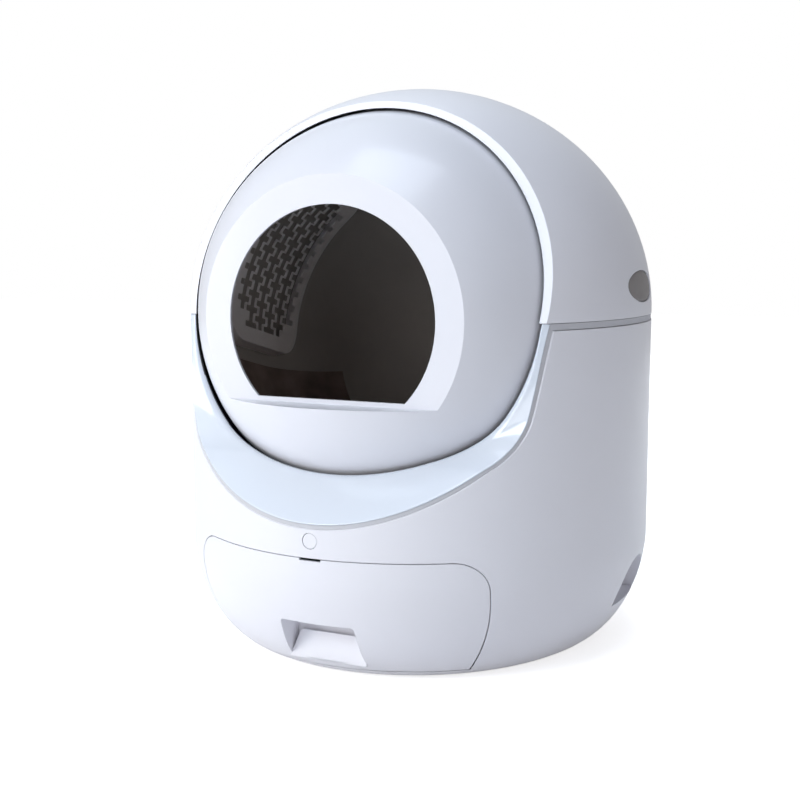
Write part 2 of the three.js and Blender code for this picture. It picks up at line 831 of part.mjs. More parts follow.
function rollerBracket(roller) {
  const place = rollerPlace(roller);
  const inner = rollerWidth / 2 + cheekGap;
  const outer = inner + cheekWall;
  const reach = bodyHalfWidth / 2;
  const cheek = new THREE.BoxGeometry(2 * cheekHalfWidth, reach, 2 * outer);
  cheek.translate(place.x, place.y - reach / 2, place.z);
  const head = disc(cheekHalfWidth, -outer, outer, holeSegments);
  head.translate(place.x, place.y, place.z);
  const slot = new THREE.BoxGeometry(4 * cheekHalfWidth, 2 * reach, 2 * inner);
  slot.translate(place.x, place.y, place.z);
  const bore = disc(rollerBore, -far, far, holeSegments);
  bore.translate(place.x, place.y, 0);
  const low = deckTop + seatGap;
  const web = block(-far, far, -far, far, low, low + bracketFoot);
  const whole = joined(inDrum(cheek), inDrum(head)).intersect(aboveSeam(low));
  const cheeks = cut(whole, inDrum(slot));
  return cut(joined(cheeks, whole.intersect(web)), inDrum(bore));
}

// Bearing and post for the hub at the back of the drum
const hubBack = -barrelLength - drumRadius - hubSink / 2;
const bearingFront = hubBack - seatGap;

function hubBearing() {
  const inner = (stubRadius + seatGap) / Math.cos(Math.PI / holeSegments);
  return inDrum(ring(inner, inner + bearingWall, bearingFront - bearingLength, bearingFront, holeSegments));
}

function hubPost() {
  const bore = (stubRadius + seatGap) / Math.cos(Math.PI / holeSegments) + bearingWall + seatGap;
  const front = bearingFront - (bearingLength - postWall) / 2;
  const head = disc(postRadius, front - postWall, front, holeSegments);
  const hole = disc(bore, front - postWall - overrun, front + overrun, holeSegments);
  const place = new THREE.Vector3(0, 0, front - postWall / 2).applyMatrix4(drumFrame);
  const low = deckTop + seatGap;
  const leg = new THREE.BoxGeometry(2 * postRadius, bodyHeight, postWall);
  leg.translate(0, -bodyHeight / 2, front - postWall / 2);
  const standing = joined(inDrum(head), inDrum(leg)).intersect(aboveSeam(low));
  const footY = place.y - (place.z - low) * Math.tan(drumTilt);
  const foot = block(-postHalfWidth, postHalfWidth, footY - postHalfWidth, footY + postHalfWidth, low, low + postWall / 2);
  return cut(joined(standing, foot), inDrum(hole), drumSweep);
}

// A flat outline bent round the drum's axis: across is an angle's arc, along is the axis
function bentRound(geometry, radius, midAngle) {
  const position = geometry.getAttribute('position');
  for (let i = 0; i < position.count; i += 1) {
    const angle = midAngle + position.getX(i) / radius;
    const reach = radius + position.getZ(i);
    position.setXYZ(i, -reach * Math.sin(angle), reach * Math.cos(angle), position.getY(i));
  }
  return geometry;
}

// A rectangle with round corners, with points close enough to bend
function sheetOutline(halfWidth, low, high, corner) {
  const centres = [
    [halfWidth - corner, high - corner, 0],
    [-halfWidth + corner, high - corner, 1],
    [-halfWidth + corner, low + corner, 2],
    [halfWidth - corner, low + corner, 3],
  ];
  const points = [];
  for (const [x, y, quarter] of centres) {
    for (let i = 0; i <= cornerSteps; i += 1) {
      const angle = quarterTurn * (quarter + i / cornerSteps);
      points.push(new THREE.Vector2(x + corner * Math.cos(angle), y + corner * Math.sin(angle)));
    }
  }
  return points.flatMap((point, i) => {
    const next = points[(i + 1) % points.length];
    const count = Math.max(1, Math.round(point.distanceTo(next) / sieveStep));
    return Array.from({ length: count }, (_, n) => point.clone().lerp(next, n / count));
  });
}

// One slot of the screen, wide and narrow in turn; the next slot is wide where this one is narrow
function sieveSlot(middle, rows, turn) {
  const run = slotPeriod / 2;
  const wideRun = (run - slotWeb) / 2;
  const edge = [];
  for (let row = -rows; row <= rows; row += 1) {
    const wide = (row + turn) % 2 === 0;
    const reach = wide ? slotHalfWide : slotHalfNarrow;
    const low = wide || row === -rows ? wideRun : run - wideRun;
    const high = wide || row === rows ? wideRun : run - wideRun;
    edge.push([row * run - low, reach], [row * run + high, reach]);
  }
  const other = edge.map(([x, reach]) => [x, -reach]).reverse();
  return [...edge, ...other].map(([x, reach]) => new THREE.Vector2(x, middle + reach));
}

function sieveScreen() {
  const half = (sieveRadius * (sieveLowAngle - sieveTopAngle)) / 2;
  const mid = (sieveLowAngle + sieveTopAngle) / 2;
  const sheet = new THREE.Shape(sheetOutline(half, sieveBack, sieveFront, sieveCorner));
  const halfLength = (sieveFront - sieveBack) / 2;
  const inner = sieveCorner - sieveBorder;
  const slots = 2 * Math.floor((halfLength - sieveBorder - slotHalfWide - slotPitch / 2) / slotPitch) + 2;
  for (let slot = 0; slot < slots; slot += 1) {
    const along = (slot - (slots - 1) / 2) * slotPitch;
    const past = Math.max(0, Math.abs(along) + slotHalfWide - (halfLength - sieveCorner));
    const reach = half - sieveCorner + Math.sqrt(Math.max(0, inner ** 2 - past ** 2));
    const rows = Math.floor((reach - slotPeriod / 4) / (slotPeriod / 2));
    const path = new THREE.Path().setFromPoints(sieveSlot((sieveFront + sieveBack) / 2 + along, rows, slot));
    sheet.holes.push(path);
  }
  const panel = new THREE.ExtrudeGeometry(sheet, { depth: sieveWall, bevelEnabled: false });
  const outline = new THREE.Shape(sheetOutline(half, sieveBack, sieveFront, sieveCorner));
  const inside = sheetOutline(half - sieveWall, sieveBack + sieveWall, sieveFront - sieveWall, sieveCorner - sieveWall);
  outline.holes.push(new THREE.Path().setFromPoints(inside));
  const frame = new THREE.ExtrudeGeometry(outline, { depth: drumRadius - sieveRadius, bevelEnabled: false });
  const body = joined(inDrum(bentRound(panel, sieveRadius, mid)), inDrum(bentRound(frame, sieveRadius, mid)));
  return mainPiece(body.intersect(drumForm(-drumWall - seatGap)));
}

function litterLiner() {
  const shell = cut(drumForm(-drumWall - seatGap), drumForm(-drumWall - seatGap - linerWall));
  const wedge = drumWedge(Math.PI - linerRightAngle, Math.PI + linerLeftAngle, far, linerBack, linerFront);
  return shell.intersect(wedge);
}

function floorPlate() {
  const edge = cabinet(shellWall + plateEdgeGap);
  const slab = block(-far, far, -far, far, plateBottom, plateBottom + plateWall);
  let plate = edge.intersect(slab);
  for (const side of [-1, 1]) {
    const rail = block(side * railX - railWidth / 2, side * railX + railWidth / 2, bayFront, bayBack,
      plateBottom, drawerFloor + binSideGap - seatGap);
    plate = plate.add(rail);
  }
  for (const x of [-1, 1]) {
    for (const y of [boardFront, boardBack]) {
      const inward = y === boardFront ? 1 : -1;
      const post = barZ(boardPostRadius, x * (boardHalfWidth - 2 * boardPostRadius),
        y + inward * 2 * boardPostRadius, plateBottom, plateBottom + plateWall + boardPostHeight);
      plate = plate.add(post);
    }
  }
  return plate;
}

function rubberFoot(x, y) {
  const foot = disc(footRadius, 0, plateBottom - seatGap, holeSegments);
  foot.translate(x * footX, y * footY, 0);
  return solid(foot);
}

function innerFrame() {
  const floor = plateBottom + plateWall + seatGap;
  const inside = cabinet(shellWall + deckEdgeGap);
  const deck = inside.intersect(block(-far, far, -far, far, deckTop - deckWall, deckTop));
  const chuteOuter = block(-chuteHalfWidth - chuteWall, chuteHalfWidth + chuteWall,
    chuteFront - chuteWall, chuteBack + chuteWall, deckTop - deckWall - chuteDrop, deckTop + chuteRise);
  const chute = block(-chuteHalfWidth, chuteHalfWidth, chuteFront, chuteBack, 0, deckTop + overrun);
  const sides = [-1, 1].map((side) => {
    const x = side * bayHalfWidth;
    return block(Math.min(x, x + side * bayWall), Math.max(x, x + side * bayWall), bayFront, bayBack, floor, deckTop);
  });
  const back = block(-bayHalfWidth - bayWall, bayHalfWidth + bayWall, bayBack, bayBack + bayWall, floor, deckTop);
  const walls = joined(...sides, back).intersect(inside);
  return cut(joined(deck, chuteOuter, walls), chute);
}

function drawerFront() {
  const outline = prismY(drawerOutline(0), -far, 0);
  const skin = cut(outerCabinet, cabinet(drawerPanel)).intersect(outline);
  const cup = outerCabinet.intersect(pullPocket(drawerPanel)).intersect(outline);
  const notch = block(-notchHalfWidth, notchHalfWidth, -far, 0, drawerTop - notchDepth, drawerTop + notchDepth);
  return cut(skin.add(cup), pullPocket(0), notch);
}

function drawerBin() {
  const front = pullBackY + drawerPanel + seatGap;
  const floor = drawerFloor + binSideGap;
  const inside = cabinet(shellWall + drawerPanel + seatGap);
  const limits = block(-far, far, front, binBack, floor, binTop);
  const outer = prismY(drawerOutline(-binSideGap), -far, far).intersect(limits).intersect(inside);
  const innerInside = cabinet(shellWall + drawerPanel + seatGap + binWall);
  const innerLimits = block(-far, far, front + binWall, binBack - binWall, floor + binWall, far);
  const inner = prismY(drawerOutline(-binSideGap - binWall), -far, far);
  const hollow = joined(inner, block(-drawerHalfWidth + binSideGap + binWall, drawerHalfWidth - binSideGap - binWall,
    -far, far, drawerFlareHeight, far)).intersect(innerLimits).intersect(innerInside);
  return cut(outer, hollow);
}

// The front face of the cabinet at a height, on the middle line
function frontAt(z) {
  const points = flankOutline(0);
  const next = points.findIndex(([, height]) => height > z);
  const [r0, z0] = points[next - 1];
  const [r1, z1] = points[next];
  return -(r0 + ((r1 - r0) * (z - z0)) / (z1 - z0)) * planStretch;
}

const buttonFace = frontAt(buttonHeight);

function frontButton() {
  const back = buttonFace + buttonDepth;
  const stem = barY(buttonRadius, 0, buttonHeight, buttonFace - overrun, back).intersect(cabinet(seatGap));
  const head = barY(buttonHeadRadius, 0, buttonHeight, back - buttonHead, back);
  return stem.add(head);
}

const switchFront = buttonFace + buttonDepth + springSpan + 2 * seatGap;

// The switch sits in a square cup that stands on the inside of the shell
function buttonSwitch() {
  const back = switchFront + switchDepth;
  const cupHalf = switchHalfWidth;
  const cup = block(-cupHalf, cupHalf, buttonFace, back, buttonHeight - cupHalf, buttonHeight + cupHalf);
  const bay = cupHalf - switchWall;
  const hollow = block(-bay, bay, buttonFace, switchFront, buttonHeight - bay, buttonHeight + bay);
  return cut(cup.intersect(seatedCabinet), hollow);
}

class SpringLine extends THREE.Curve {
  getPoint(share, target = new THREE.Vector3()) {
    const angle = 2 * Math.PI * springTurns * share;
    const wire = springWire + seatGap;
    const from = buttonFace + buttonDepth + wire;
    const to = switchFront - wire;
    return target.set(springRadius * Math.cos(angle), from + (to - from) * share,
      buttonHeight + springRadius * Math.sin(angle));
  }
}

function buttonSpring() {
  const section = new THREE.Shape(circlePoints(springWire, springSides));
  const steps = springTurns * springStepsPerTurn;
  return solid(new THREE.ExtrudeGeometry(section, { steps, extrudePath: new SpringLine() }));
}

function controlBoard() {
  const low = plateBottom + plateWall + boardPostHeight + seatGap;
  const top = low + boardWall;
  const board = block(-boardHalfWidth, boardHalfWidth, boardFront, boardBack, low, top);
  const depth = boardBack - boardFront;
  const partShares = [[-0.8, -0.3, 0.1, 0.45, 6], [-0.1, 0.4, 0.35, 0.75, 3], [0.55, 0.9, 0.1, 0.4, 5], [-0.7, -0.4, 0.65, 0.9, 4]];
  return partShares.reduce((whole, [x0, x1, y0, y1, height]) => whole.add(block(
    x0 * boardHalfWidth, x1 * boardHalfWidth, boardFront + y0 * depth, boardFront + y1 * depth,
    low, top + height * boardWall,
  )), board);
}

function powerInlet() {
  const points = flankOutline(0);
  const next = points.findIndex(([, height]) => height > inletZ);
  const [r0, z0] = points[next - 1];
  const [r1, z1] = points[next];
  const radius = r0 + ((r1 - r0) * (inletZ - z0)) / (z1 - z0);
  const face = planStretch * Math.sqrt(radius ** 2 - inletX ** 2);
  const barrel = barY(inletRadius, inletX, inletZ, face - inletDepth, face + overrun).intersect(cabinet(seatGap));
  const flange = barY(inletFlange, inletX, inletZ, face - inletDepth, face - inletDepth + inletFlangeWall);
  const bore = barY(inletBore, inletX, inletZ, face - inletDepth / 2, face + overrun);
  return cut(barrel.add(flange), bore);
}

// Materials: white shells, grey trims, dark rubber and plain metal
const finishes = {
  whiteShell: { color: 0xf1f2f4, roughness: 0.35, metalness: 0 },
  bezelWhite: { color: 0xe4e8f2, roughness: 0.22, metalness: 0 },
  drumWhite: { color: 0xeef0f4, roughness: 0.3, metalness: 0 },
  trimGrey: { color: 0x9a9ba1, roughness: 0.45, metalness: 0 },
  buttonGrey: { color: 0x8d8886, roughness: 0.5, metalness: 0 },
  sieveGrey: { color: 0xb4b0b2, roughness: 0.5, metalness: 0 },
  linerBrown: { color: 0x3b312c, roughness: 0.85, metalness: 0 },
  frameGrey: { color: 0x6c6e73, roughness: 0.6, metalness: 0 },
  rubberBlack: { color: 0x222325, roughness: 0.85, metalness: 0 },
  gearWhite: { color: 0xd8d9da, roughness: 0.45, metalness: 0 },
  steel: { color: 0x9da0a4, roughness: 0.35, metalness: 1 },
  boardGreen: { color: 0x1f5b3a, roughness: 0.5, metalness: 0 },
};

const litterBox = new THREE.Group();

function place(name, body, finish) {
  const mesh = new THREE.Mesh(geometryOf(body), new THREE.MeshStandardMaterial({ ...finishes[finish] }));
  mesh.name = name;
  litterBox.add(mesh);
}

place('base_shell', baseShell(), 'whiteShell');
place('base_plate', floorPlate(), 'frameGrey');
place('inner_frame', innerFrame(), 'frameGrey');
place('mouth_bezel', mouthBezel(), 'bezelWhite');
place('seam_trim', seamTrim(), 'trimGrey');
for (const [end, y] of [['front', -1], ['rear', 1]]) {
  for (const [hand, x] of [['left', -1], ['right', 1]]) {
    place(`foot_${end}_${hand}`, rubberFoot(x, y), 'rubberBlack');
  }
}
place('hood_shell', hoodShell(), 'whiteShell');
for (const [hand, side] of [['left', -1], ['right', 1]]) {
  place(`hood_button_${hand}`, hoodButton(side), 'buttonGrey');
}
place('drum_front', drumFront(), 'drumWhite');
place('drum_rear', drumRear(), 'drumWhite');
place('ring_gear', ringGear(), 'gearWhite');
place('sieve_screen', sieveScreen(), 'sieveGrey');
place('litter_liner', litterLiner(), 'linerBrown');
place('hub_bearing', hubBearing(), 'gearWhite');
place('hub_post', hubPost(), 'frameGrey');
for (const roller of rollers) {
  place(`support_roller_${roller.name}`, supportRoller(roller), 'rubberBlack');
  place(`roller_axle_${roller.name}`, rollerAxle(roller), 'steel');
  place(`roller_bracket_${roller.name}`, rollerBracket(roller), 'frameGrey');
}
place('drive_motor', driveMotor(), 'steel');
place('motor_mount', motorMount(), 'steel');
place('drive_pinion', drivePinion(), 'gearWhite');
place('control_board', controlBoard(), 'boardGreen');
place('power_inlet', powerInlet(), 'rubberBlack');
place('front_button', frontButton(), 'whiteShell');
place('button_spring', buttonSpring(), 'steel');
place('button_switch', buttonSwitch(), 'boardGreen');
place('drawer_front', drawerFront(), 'whiteShell');
place('drawer_bin', drawerBin(), 'whiteShell');

export default litterBox;
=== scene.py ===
"""Self cleaning litter box: an egg-shaped cabinet round a tilted drum that turns.

Every piece is in metres in the part's own frame: +Z up, front towards -Y.
"""

import json
import logging
import math
from dataclasses import dataclass, field
from enum import Enum
from typing import Callable, Mapping, Optional, Sequence, Union

import bmesh
import bpy
from mathutils import Matrix, Vector


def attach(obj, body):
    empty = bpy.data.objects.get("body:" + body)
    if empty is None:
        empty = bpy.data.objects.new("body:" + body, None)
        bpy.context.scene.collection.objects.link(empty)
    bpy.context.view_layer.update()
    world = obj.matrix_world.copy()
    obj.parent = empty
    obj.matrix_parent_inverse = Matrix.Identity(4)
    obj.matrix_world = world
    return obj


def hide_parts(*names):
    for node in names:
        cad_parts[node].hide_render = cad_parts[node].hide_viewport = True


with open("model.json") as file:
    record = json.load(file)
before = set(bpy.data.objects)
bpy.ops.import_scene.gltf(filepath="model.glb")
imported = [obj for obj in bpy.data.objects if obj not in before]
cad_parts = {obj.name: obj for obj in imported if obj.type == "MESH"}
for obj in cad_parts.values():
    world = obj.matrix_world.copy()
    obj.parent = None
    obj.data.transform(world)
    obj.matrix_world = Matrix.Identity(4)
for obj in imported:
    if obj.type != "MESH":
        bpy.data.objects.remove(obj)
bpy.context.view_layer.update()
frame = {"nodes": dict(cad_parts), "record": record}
LOG = logging.getLogger("litter_box")
FAR = 0.9
NEAR = 1e-6

Point = tuple[float, float]
Place = Colour = tuple[float, float, float]
Solid = bmesh.types.BMesh
Socket = bpy.types.NodeSocket
Field = Callable[[Vector], Optional[Vector]]


class Cut(Enum):
    """How one solid works on another."""

    AWAY = "DIFFERENCE"
    WITHIN = "INTERSECT"
    WITH = "UNION"


class Axis(Enum):
    """The direction that a prism runs in, and the two axes that its outline is drawn on."""

    X = (1, 2, 0)
    Y = (0, 2, 1)
    Z = (0, 1, 2)


class Sums:
    """Sums that several pieces share."""

    @staticmethod
    def spaced(start: float, end: float, steps: int) -> list[float]:
        """Evenly spaced values from one to another, both ends included."""
        return [start + (end - start) * i / steps for i in range(steps + 1)]

    @staticmethod
    def quarter(steps: int) -> list[float]:
        """Evenly spaced angles over a quarter turn, both ends included."""
        return Sums.spaced(0.0, 0.5 * math.pi, steps)

    @staticmethod
    def rim(radius: float, edge: float, steps: int) -> list[Point]:
        """The rounded rim of a disc whose face lies at 0 and whose body lies below."""
        return [(radius - edge + edge * math.sin(t), edge * math.cos(t) - edge) for t in Sums.quarter(steps)]

    @staticmethod
    def last_inside(low: float, high: float, inside: Callable[[float], bool], halvings: int = 34) -> float:
        """The value between two at which a test turns from true to false.

        Args:
            low: A value at which it is true.
            high: A value at which it is false.
            inside: The test.
            halvings: How often the range is halved.

        Returns:
            The last value found to be true.
        """
        for _ in range(halvings):
            middle = (low + high) / 2
            low, high = (middle, high) if inside(middle) else (low, middle)
        return low


class Workshop:
    """The bench: turns, extrudes, cuts and smooths meshes."""

    @staticmethod
    def chain(points: Sequence[Point], closed: bool = False) -> Solid:
        """Draw a profile in the XZ plane.

        Args:
            points: Radius and height of each corner.
            closed: Whether the last corner joins the first.

        Returns:
            A mesh of vertices and edges alone.
        """
        bm = bmesh.new()
        verts = [bm.verts.new((r, 0.0, z)) for r, z in points]
        for a, b in zip(verts, verts[1:] + (verts[:1] if closed else [])):
            bm.edges.new((a, b))
        return bm

    @staticmethod
    def turned(points: Sequence[Point], steps: int = 144, closed: bool = False) -> Solid:
        """Turn a profile a full turn about +Z.

        Args:
            points: Radius and height of each corner.
            steps: Facets of the full turn.
            closed: Whether the profile is a closed loop, as for a ring.

        Returns:
            A closed solid with its faces outwards.
        """
        bm = Workshop.chain(points, closed)
        bmesh.ops.spin(bm, geom=bm.verts[:] + bm.edges[:], cent=(0, 0, 0), axis=(0, 0, 1), dvec=(0, 0, 0),
                       angle=2 * math.pi, steps=steps, use_merge=True, use_duplicate=False)
        return Workshop.tidied(bm)

    @staticmethod
    def tidied(bm: Solid) -> Solid:
        """Merge the doubles and turn the faces outwards.

        Args:
            bm: The mesh.

        Returns:
            The same mesh.
        """
        bmesh.ops.remove_doubles(bm, verts=bm.verts[:], dist=NEAR)
        bmesh.ops.recalc_face_normals(bm, faces=bm.faces[:])
        return bm

    @staticmethod
    def raised(bm: Solid, faces: list[bmesh.types.BMFace], move: Sequence[float]) -> list[bmesh.types.BMFace]:
        """Extrude faces and keep the old ones as the solid's other end.

        Args:
            bm: The mesh.
            faces: The faces.
            move: How far the new end goes.

        Returns:
            The faces of the new end.
        """
        made = bmesh.ops.extrude_face_region(bm, geom=faces, use_keep_orig=True)
        ends = [f for f in made["geom"] if isinstance(f, bmesh.types.BMFace)]
        bmesh.ops.translate(bm, vec=move, verts=list({v for f in ends for v in f.verts}))
        return ends

    @staticmethod
    def prism(points: Sequence[Point], axis: Axis, low: float, high: float) -> Solid:
        """Extrude an outline straight along an axis.

        Args:
            points: Corners of the outline on the axis's two drawing axes.
            axis: The direction that the prism runs in.
            low: Where it starts.
            high: Where it ends.

        Returns:
            A closed solid.
        """
        bm = bmesh.new()
        a, b, c = axis.value
        verts = []
        for p, q in points:
            co = [low, low, low]
            co[a], co[b] = p, q
            verts.append(bm.verts.new(co))
        move = [0.0, 0.0, 0.0]
        move[c] = high - low
        Workshop.raised(bm, [bm.faces.new(verts)], move)
        return Workshop.tidied(bm)

    @staticmethod
    def outwards(points: Sequence[Point], side: int, start: float) -> Solid:
        """Extrude an outline on Y and Z out through a flank.

        Args:
            points: Corners of the outline.
            side: -1 for the left, 1 for the right.
            start: How far from the middle it starts.

        Returns:
            A closed solid.
        """
        low, high = sorted((side * start, side * FAR))
        return Workshop.prism(points, Axis.X, low, high)

    @staticmethod
    def moved(bm: Solid, matrix: Matrix) -> Solid:
        """Move a mesh by a matrix and return it."""
        bmesh.ops.transform(bm, matrix=matrix, verts=bm.verts[:])
        return bm

    @staticmethod
    def laid(bm: Solid, place: Sequence[float], turn: float) -> Solid:
        """Tip a turned mesh about X, move it to a place and return it."""
        return Workshop.moved(bm, Matrix.Translation(place) @ Matrix.Rotation(turn, 4, "X"))

    @staticmethod
    def rod(radius: float, low: float, high: float, facets: int) -> Solid:
        """A rod about +Z between two heights."""
        return Workshop.turned([(0, low), (radius, low), (radius, high), (0, high)], facets)

    @staticmethod
    def sliced(bm: Solid, place: Sequence[float], facing: Sequence[float], drop: bool = False) -> None:
        """Cut the faces of a mesh along a plane.

        Args:
            bm: The mesh.
            place: A point of the plane.
            facing: The plane's normal.
            drop: Whether what the normal points at is dropped.
        """
        bmesh.ops.bisect_plane(bm, geom=bm.verts[:] + bm.edges[:] + bm.faces[:], dist=NEAR, plane_co=place,
                               plane_no=facing, clear_outer=drop)

    @staticmethod
    def block(low: Sequence[float], high: Sequence[float]) -> Solid:
        """Make a box from its lowest to its highest corner.

        Args:
            low: The lowest corner.
            high: The highest corner.

        Returns:
            A closed solid.
        """
        bm = bmesh.new()
        middle = [(p + q) / 2 for p, q in zip(low, high)]
        size = [q - p for p, q in zip(low, high)]
        bmesh.ops.create_cube(bm, size=1.0, matrix=Matrix.Translation(middle) @ Matrix.Diagonal((*size, 1.0)))
        return bm

    @staticmethod
    def piece(bm: Solid, name: str) -> bpy.types.Object:
        """Give a mesh its object in the scene, at the origin.

        Args:
            bm: The mesh, which is freed.
            name: The object's name.

        Returns:
            The linked object.
        """
        mesh = bpy.data.meshes.new(name)
        bm.to_mesh(mesh)
        bm.free()
        obj = bpy.data.objects.new(name, mesh)
        bpy.context.scene.collection.objects.link(obj)
        return obj

    @staticmethod
    def bake(obj: bpy.types.Object) -> None:
        """Make an object's modifiers part of its mesh.

        Args:
            obj: The object.
        """
        graph = bpy.context.evaluated_depsgraph_get()
        baked = bpy.data.meshes.new_from_object(obj.evaluated_get(graph))
        old = obj.data
        obj.modifiers.clear()
        obj.data = baked
        baked.name = obj.name
        bpy.data.meshes.remove(old)

    @staticmethod
    def carve(obj: bpy.types.Object, how: Cut, *tools: Solid) -> bpy.types.Object:
        """Work tools on an object one after another.

        Args:
            obj: The object that changes.
            how: What each tool does.
            tools: The tools, which are used up.

        Returns:
            The same object.
        """
        for tool in tools:
            cutter = Workshop.piece(tool, "cutter")
            step = obj.modifiers.new("cut", "BOOLEAN")
            step.operation, step.solver, step.object = how.value, "EXACT", cutter
            Workshop.bake(obj)
            mesh = cutter.data
            bpy.data.objects.remove(cutter)
            bpy.data.meshes.remove(mesh)
        return obj

    @staticmethod
    def worked(bm: Solid, how: Cut, *tools: Solid) -> Solid:
        """Work tools on a mesh that is itself a tool.

        Args:
            bm: The mesh, which is used up.
            how: What each tool does.
            tools: The tools, which are used up.

        Returns:
            The changed mesh.
        """
        obj = Workshop.carve(Workshop.piece(bm, "tool"), how, *tools)
        mesh, made = obj.data, bmesh.new()
        made.from_mesh(mesh)
        bpy.data.objects.remove(obj)
        bpy.data.meshes.remove(mesh)
        return made

    @staticmethod
    def smooth(obj: bpy.types.Object, field: Optional[Field] = None, crease: float = 28.0,
               likeness: float = 0.97) -> None:
        """Shade an object smooth with crisp edges.

        Args:
            obj: The object.
            field: Gives the true normal of the curved surface at a point, or None off it.
            crease: Edges sharper than this many degrees stay crisp.
            likeness: How near a face's own direction has to be to the true one to take it.
        """
        mesh = obj.data
        mesh.shade_smooth()
        mesh.set_sharp_from_angle(angle=math.radians(crease))
        if field is None:
            return
        normals = [Vector(corner.vector) for corner in mesh.corner_normals]
        truth = [field(v.co) for v in mesh.vertices]
        for face in mesh.polygons:
            for loop in face.loop_indices:
                true = truth[mesh.loops[loop].vertex_index]
                if true is not None and true.dot(face.normal) > likeness:
                    normals[loop] = true
        mesh.normals_split_custom_set(normals)


@dataclass(frozen=True)
class CabinetForm:
    """The outer form of the cabinet: oval plan, upright flank, round crown, drawn-in foot."""

    half_width: float = 0.254
    half_depth: float = 0.273
    seam: float = 0.357
    height: float = 0.600
    foot_inset: float = 0.067
    foot_rise: float = 0.113
    foot_roundness: float = 1.8
    wall: float = 0.003
    near: float = 0.004
    step: float = 1e-4

    @property
    def stretch(self) -> float:
        """How much deeper than wide the plan is."""
        return self.half_depth / self.half_width

    @property
    def rise(self) -> float:
        """Height of the crown."""
        return self.height - self.seam

    def radius(self, z: float) -> float:
        """Half the width at a height.

        Args:
            z: The height.

        Returns:
            The distance from the middle.
        """
        if z >= self.seam:
            return self.half_width * math.sqrt(max(0.0, 1 - ((z - self.seam) / self.rise) ** 2))
        if z >= self.foot_rise:
            return self.half_width
        drop = (1 - max(z, 0.0) / self.foot_rise) ** self.foot_roundness
        return self.half_width - self.foot_inset * (1 - (1 - drop) ** (1 / self.foot_roundness))

    def outline(self, inset: float, foot_rows: int = 20, flank_rows: int = 6, crown_rows: int = 36) -> list[Point]:
        """Sample the flank from the floor edge to the crown.

        Args:
            inset: How far the outline is set in.
            foot_rows: Rows in the drawn-in foot.
            flank_rows: Rows in the upright flank.
            crown_rows: Rows in the crown.

        Returns:
            Radius and height of each row.
        """
        heights = [self.foot_rise * math.sin(t) ** 2 for t in Sums.quarter(foot_rows)]
        rows = [(self.radius(z), z) for z in heights]
        rows += [(self.half_width, z) for z in Sums.spaced(self.foot_rise, self.seam, flank_rows)[1:-1]]
        rows += [(self.half_width * math.cos(t), self.seam + self.rise * math.sin(t))
                 for t in Sums.quarter(crown_rows)]
        if inset == 0:
            rows[-1] = (0.0, self.height)
            return rows
        made = []
        for i, (r, z) in enumerate(rows):
            r0, z0 = rows[max(i - 1, 0)]
            r1, z1 = rows[min(i + 1, len(rows) - 1)]
            length = math.hypot(r1 - r0, z1 - z0)
            made.append((r - inset * (z1 - z0) / length, z + inset * (r1 - r0) / length))
        made[-1] = (0.0, self.height - inset)
        return made

    def solid(self, inset: float = 0.0) -> Solid:
        """The full solid inside the outline set in by a wall.

        Args:
            inset: Thickness of the wall.

        Returns:
            A closed solid.
        """
        rows = self.outline(inset)
        bm = Workshop.turned([(0.0, rows[0][1]), *rows])
        bmesh.ops.scale(bm, vec=(1, self.stretch, 1), verts=bm.verts[:])
        return bm

    def normal(self, co: Vector) -> Optional[Vector]:
        """The true outward direction of the outer surface at a point, or None off it.

        Args:
            co: The point.

        Returns:
            The direction, or None.
        """
        oval = math.hypot(co.x / self.half_width, co.y / self.half_depth)
        if oval < NEAR:
            return Vector((0, 0, 1)) if co.z > self.seam else None
        if abs(oval - self.radius(co.z) / self.half_width) > self.near and co.z < self.height - self.near:
            return None
        x, y = co.x / self.half_width ** 2, co.y / self.half_depth ** 2
        if co.z >= self.seam:
            return Vector((x, y, (co.z - self.seam) / self.rise ** 2)).normalized()
        low, high = max(co.z - self.step, 0.0), co.z + self.step
        slope = (self.radius(high) - self.radius(low)) / (high - low)
        return Vector((x / oval, y / oval, -slope / self.half_width)).normalized()

    def flank_x(self, y: float, z: float, inset: float = 0.0) -> float:
        """How far out the flank is at a place on it, set in a little."""
        share = self.radius(z) ** 2 - (y / self.stretch) ** 2
        return math.sqrt(max(share, 0.0)) - inset


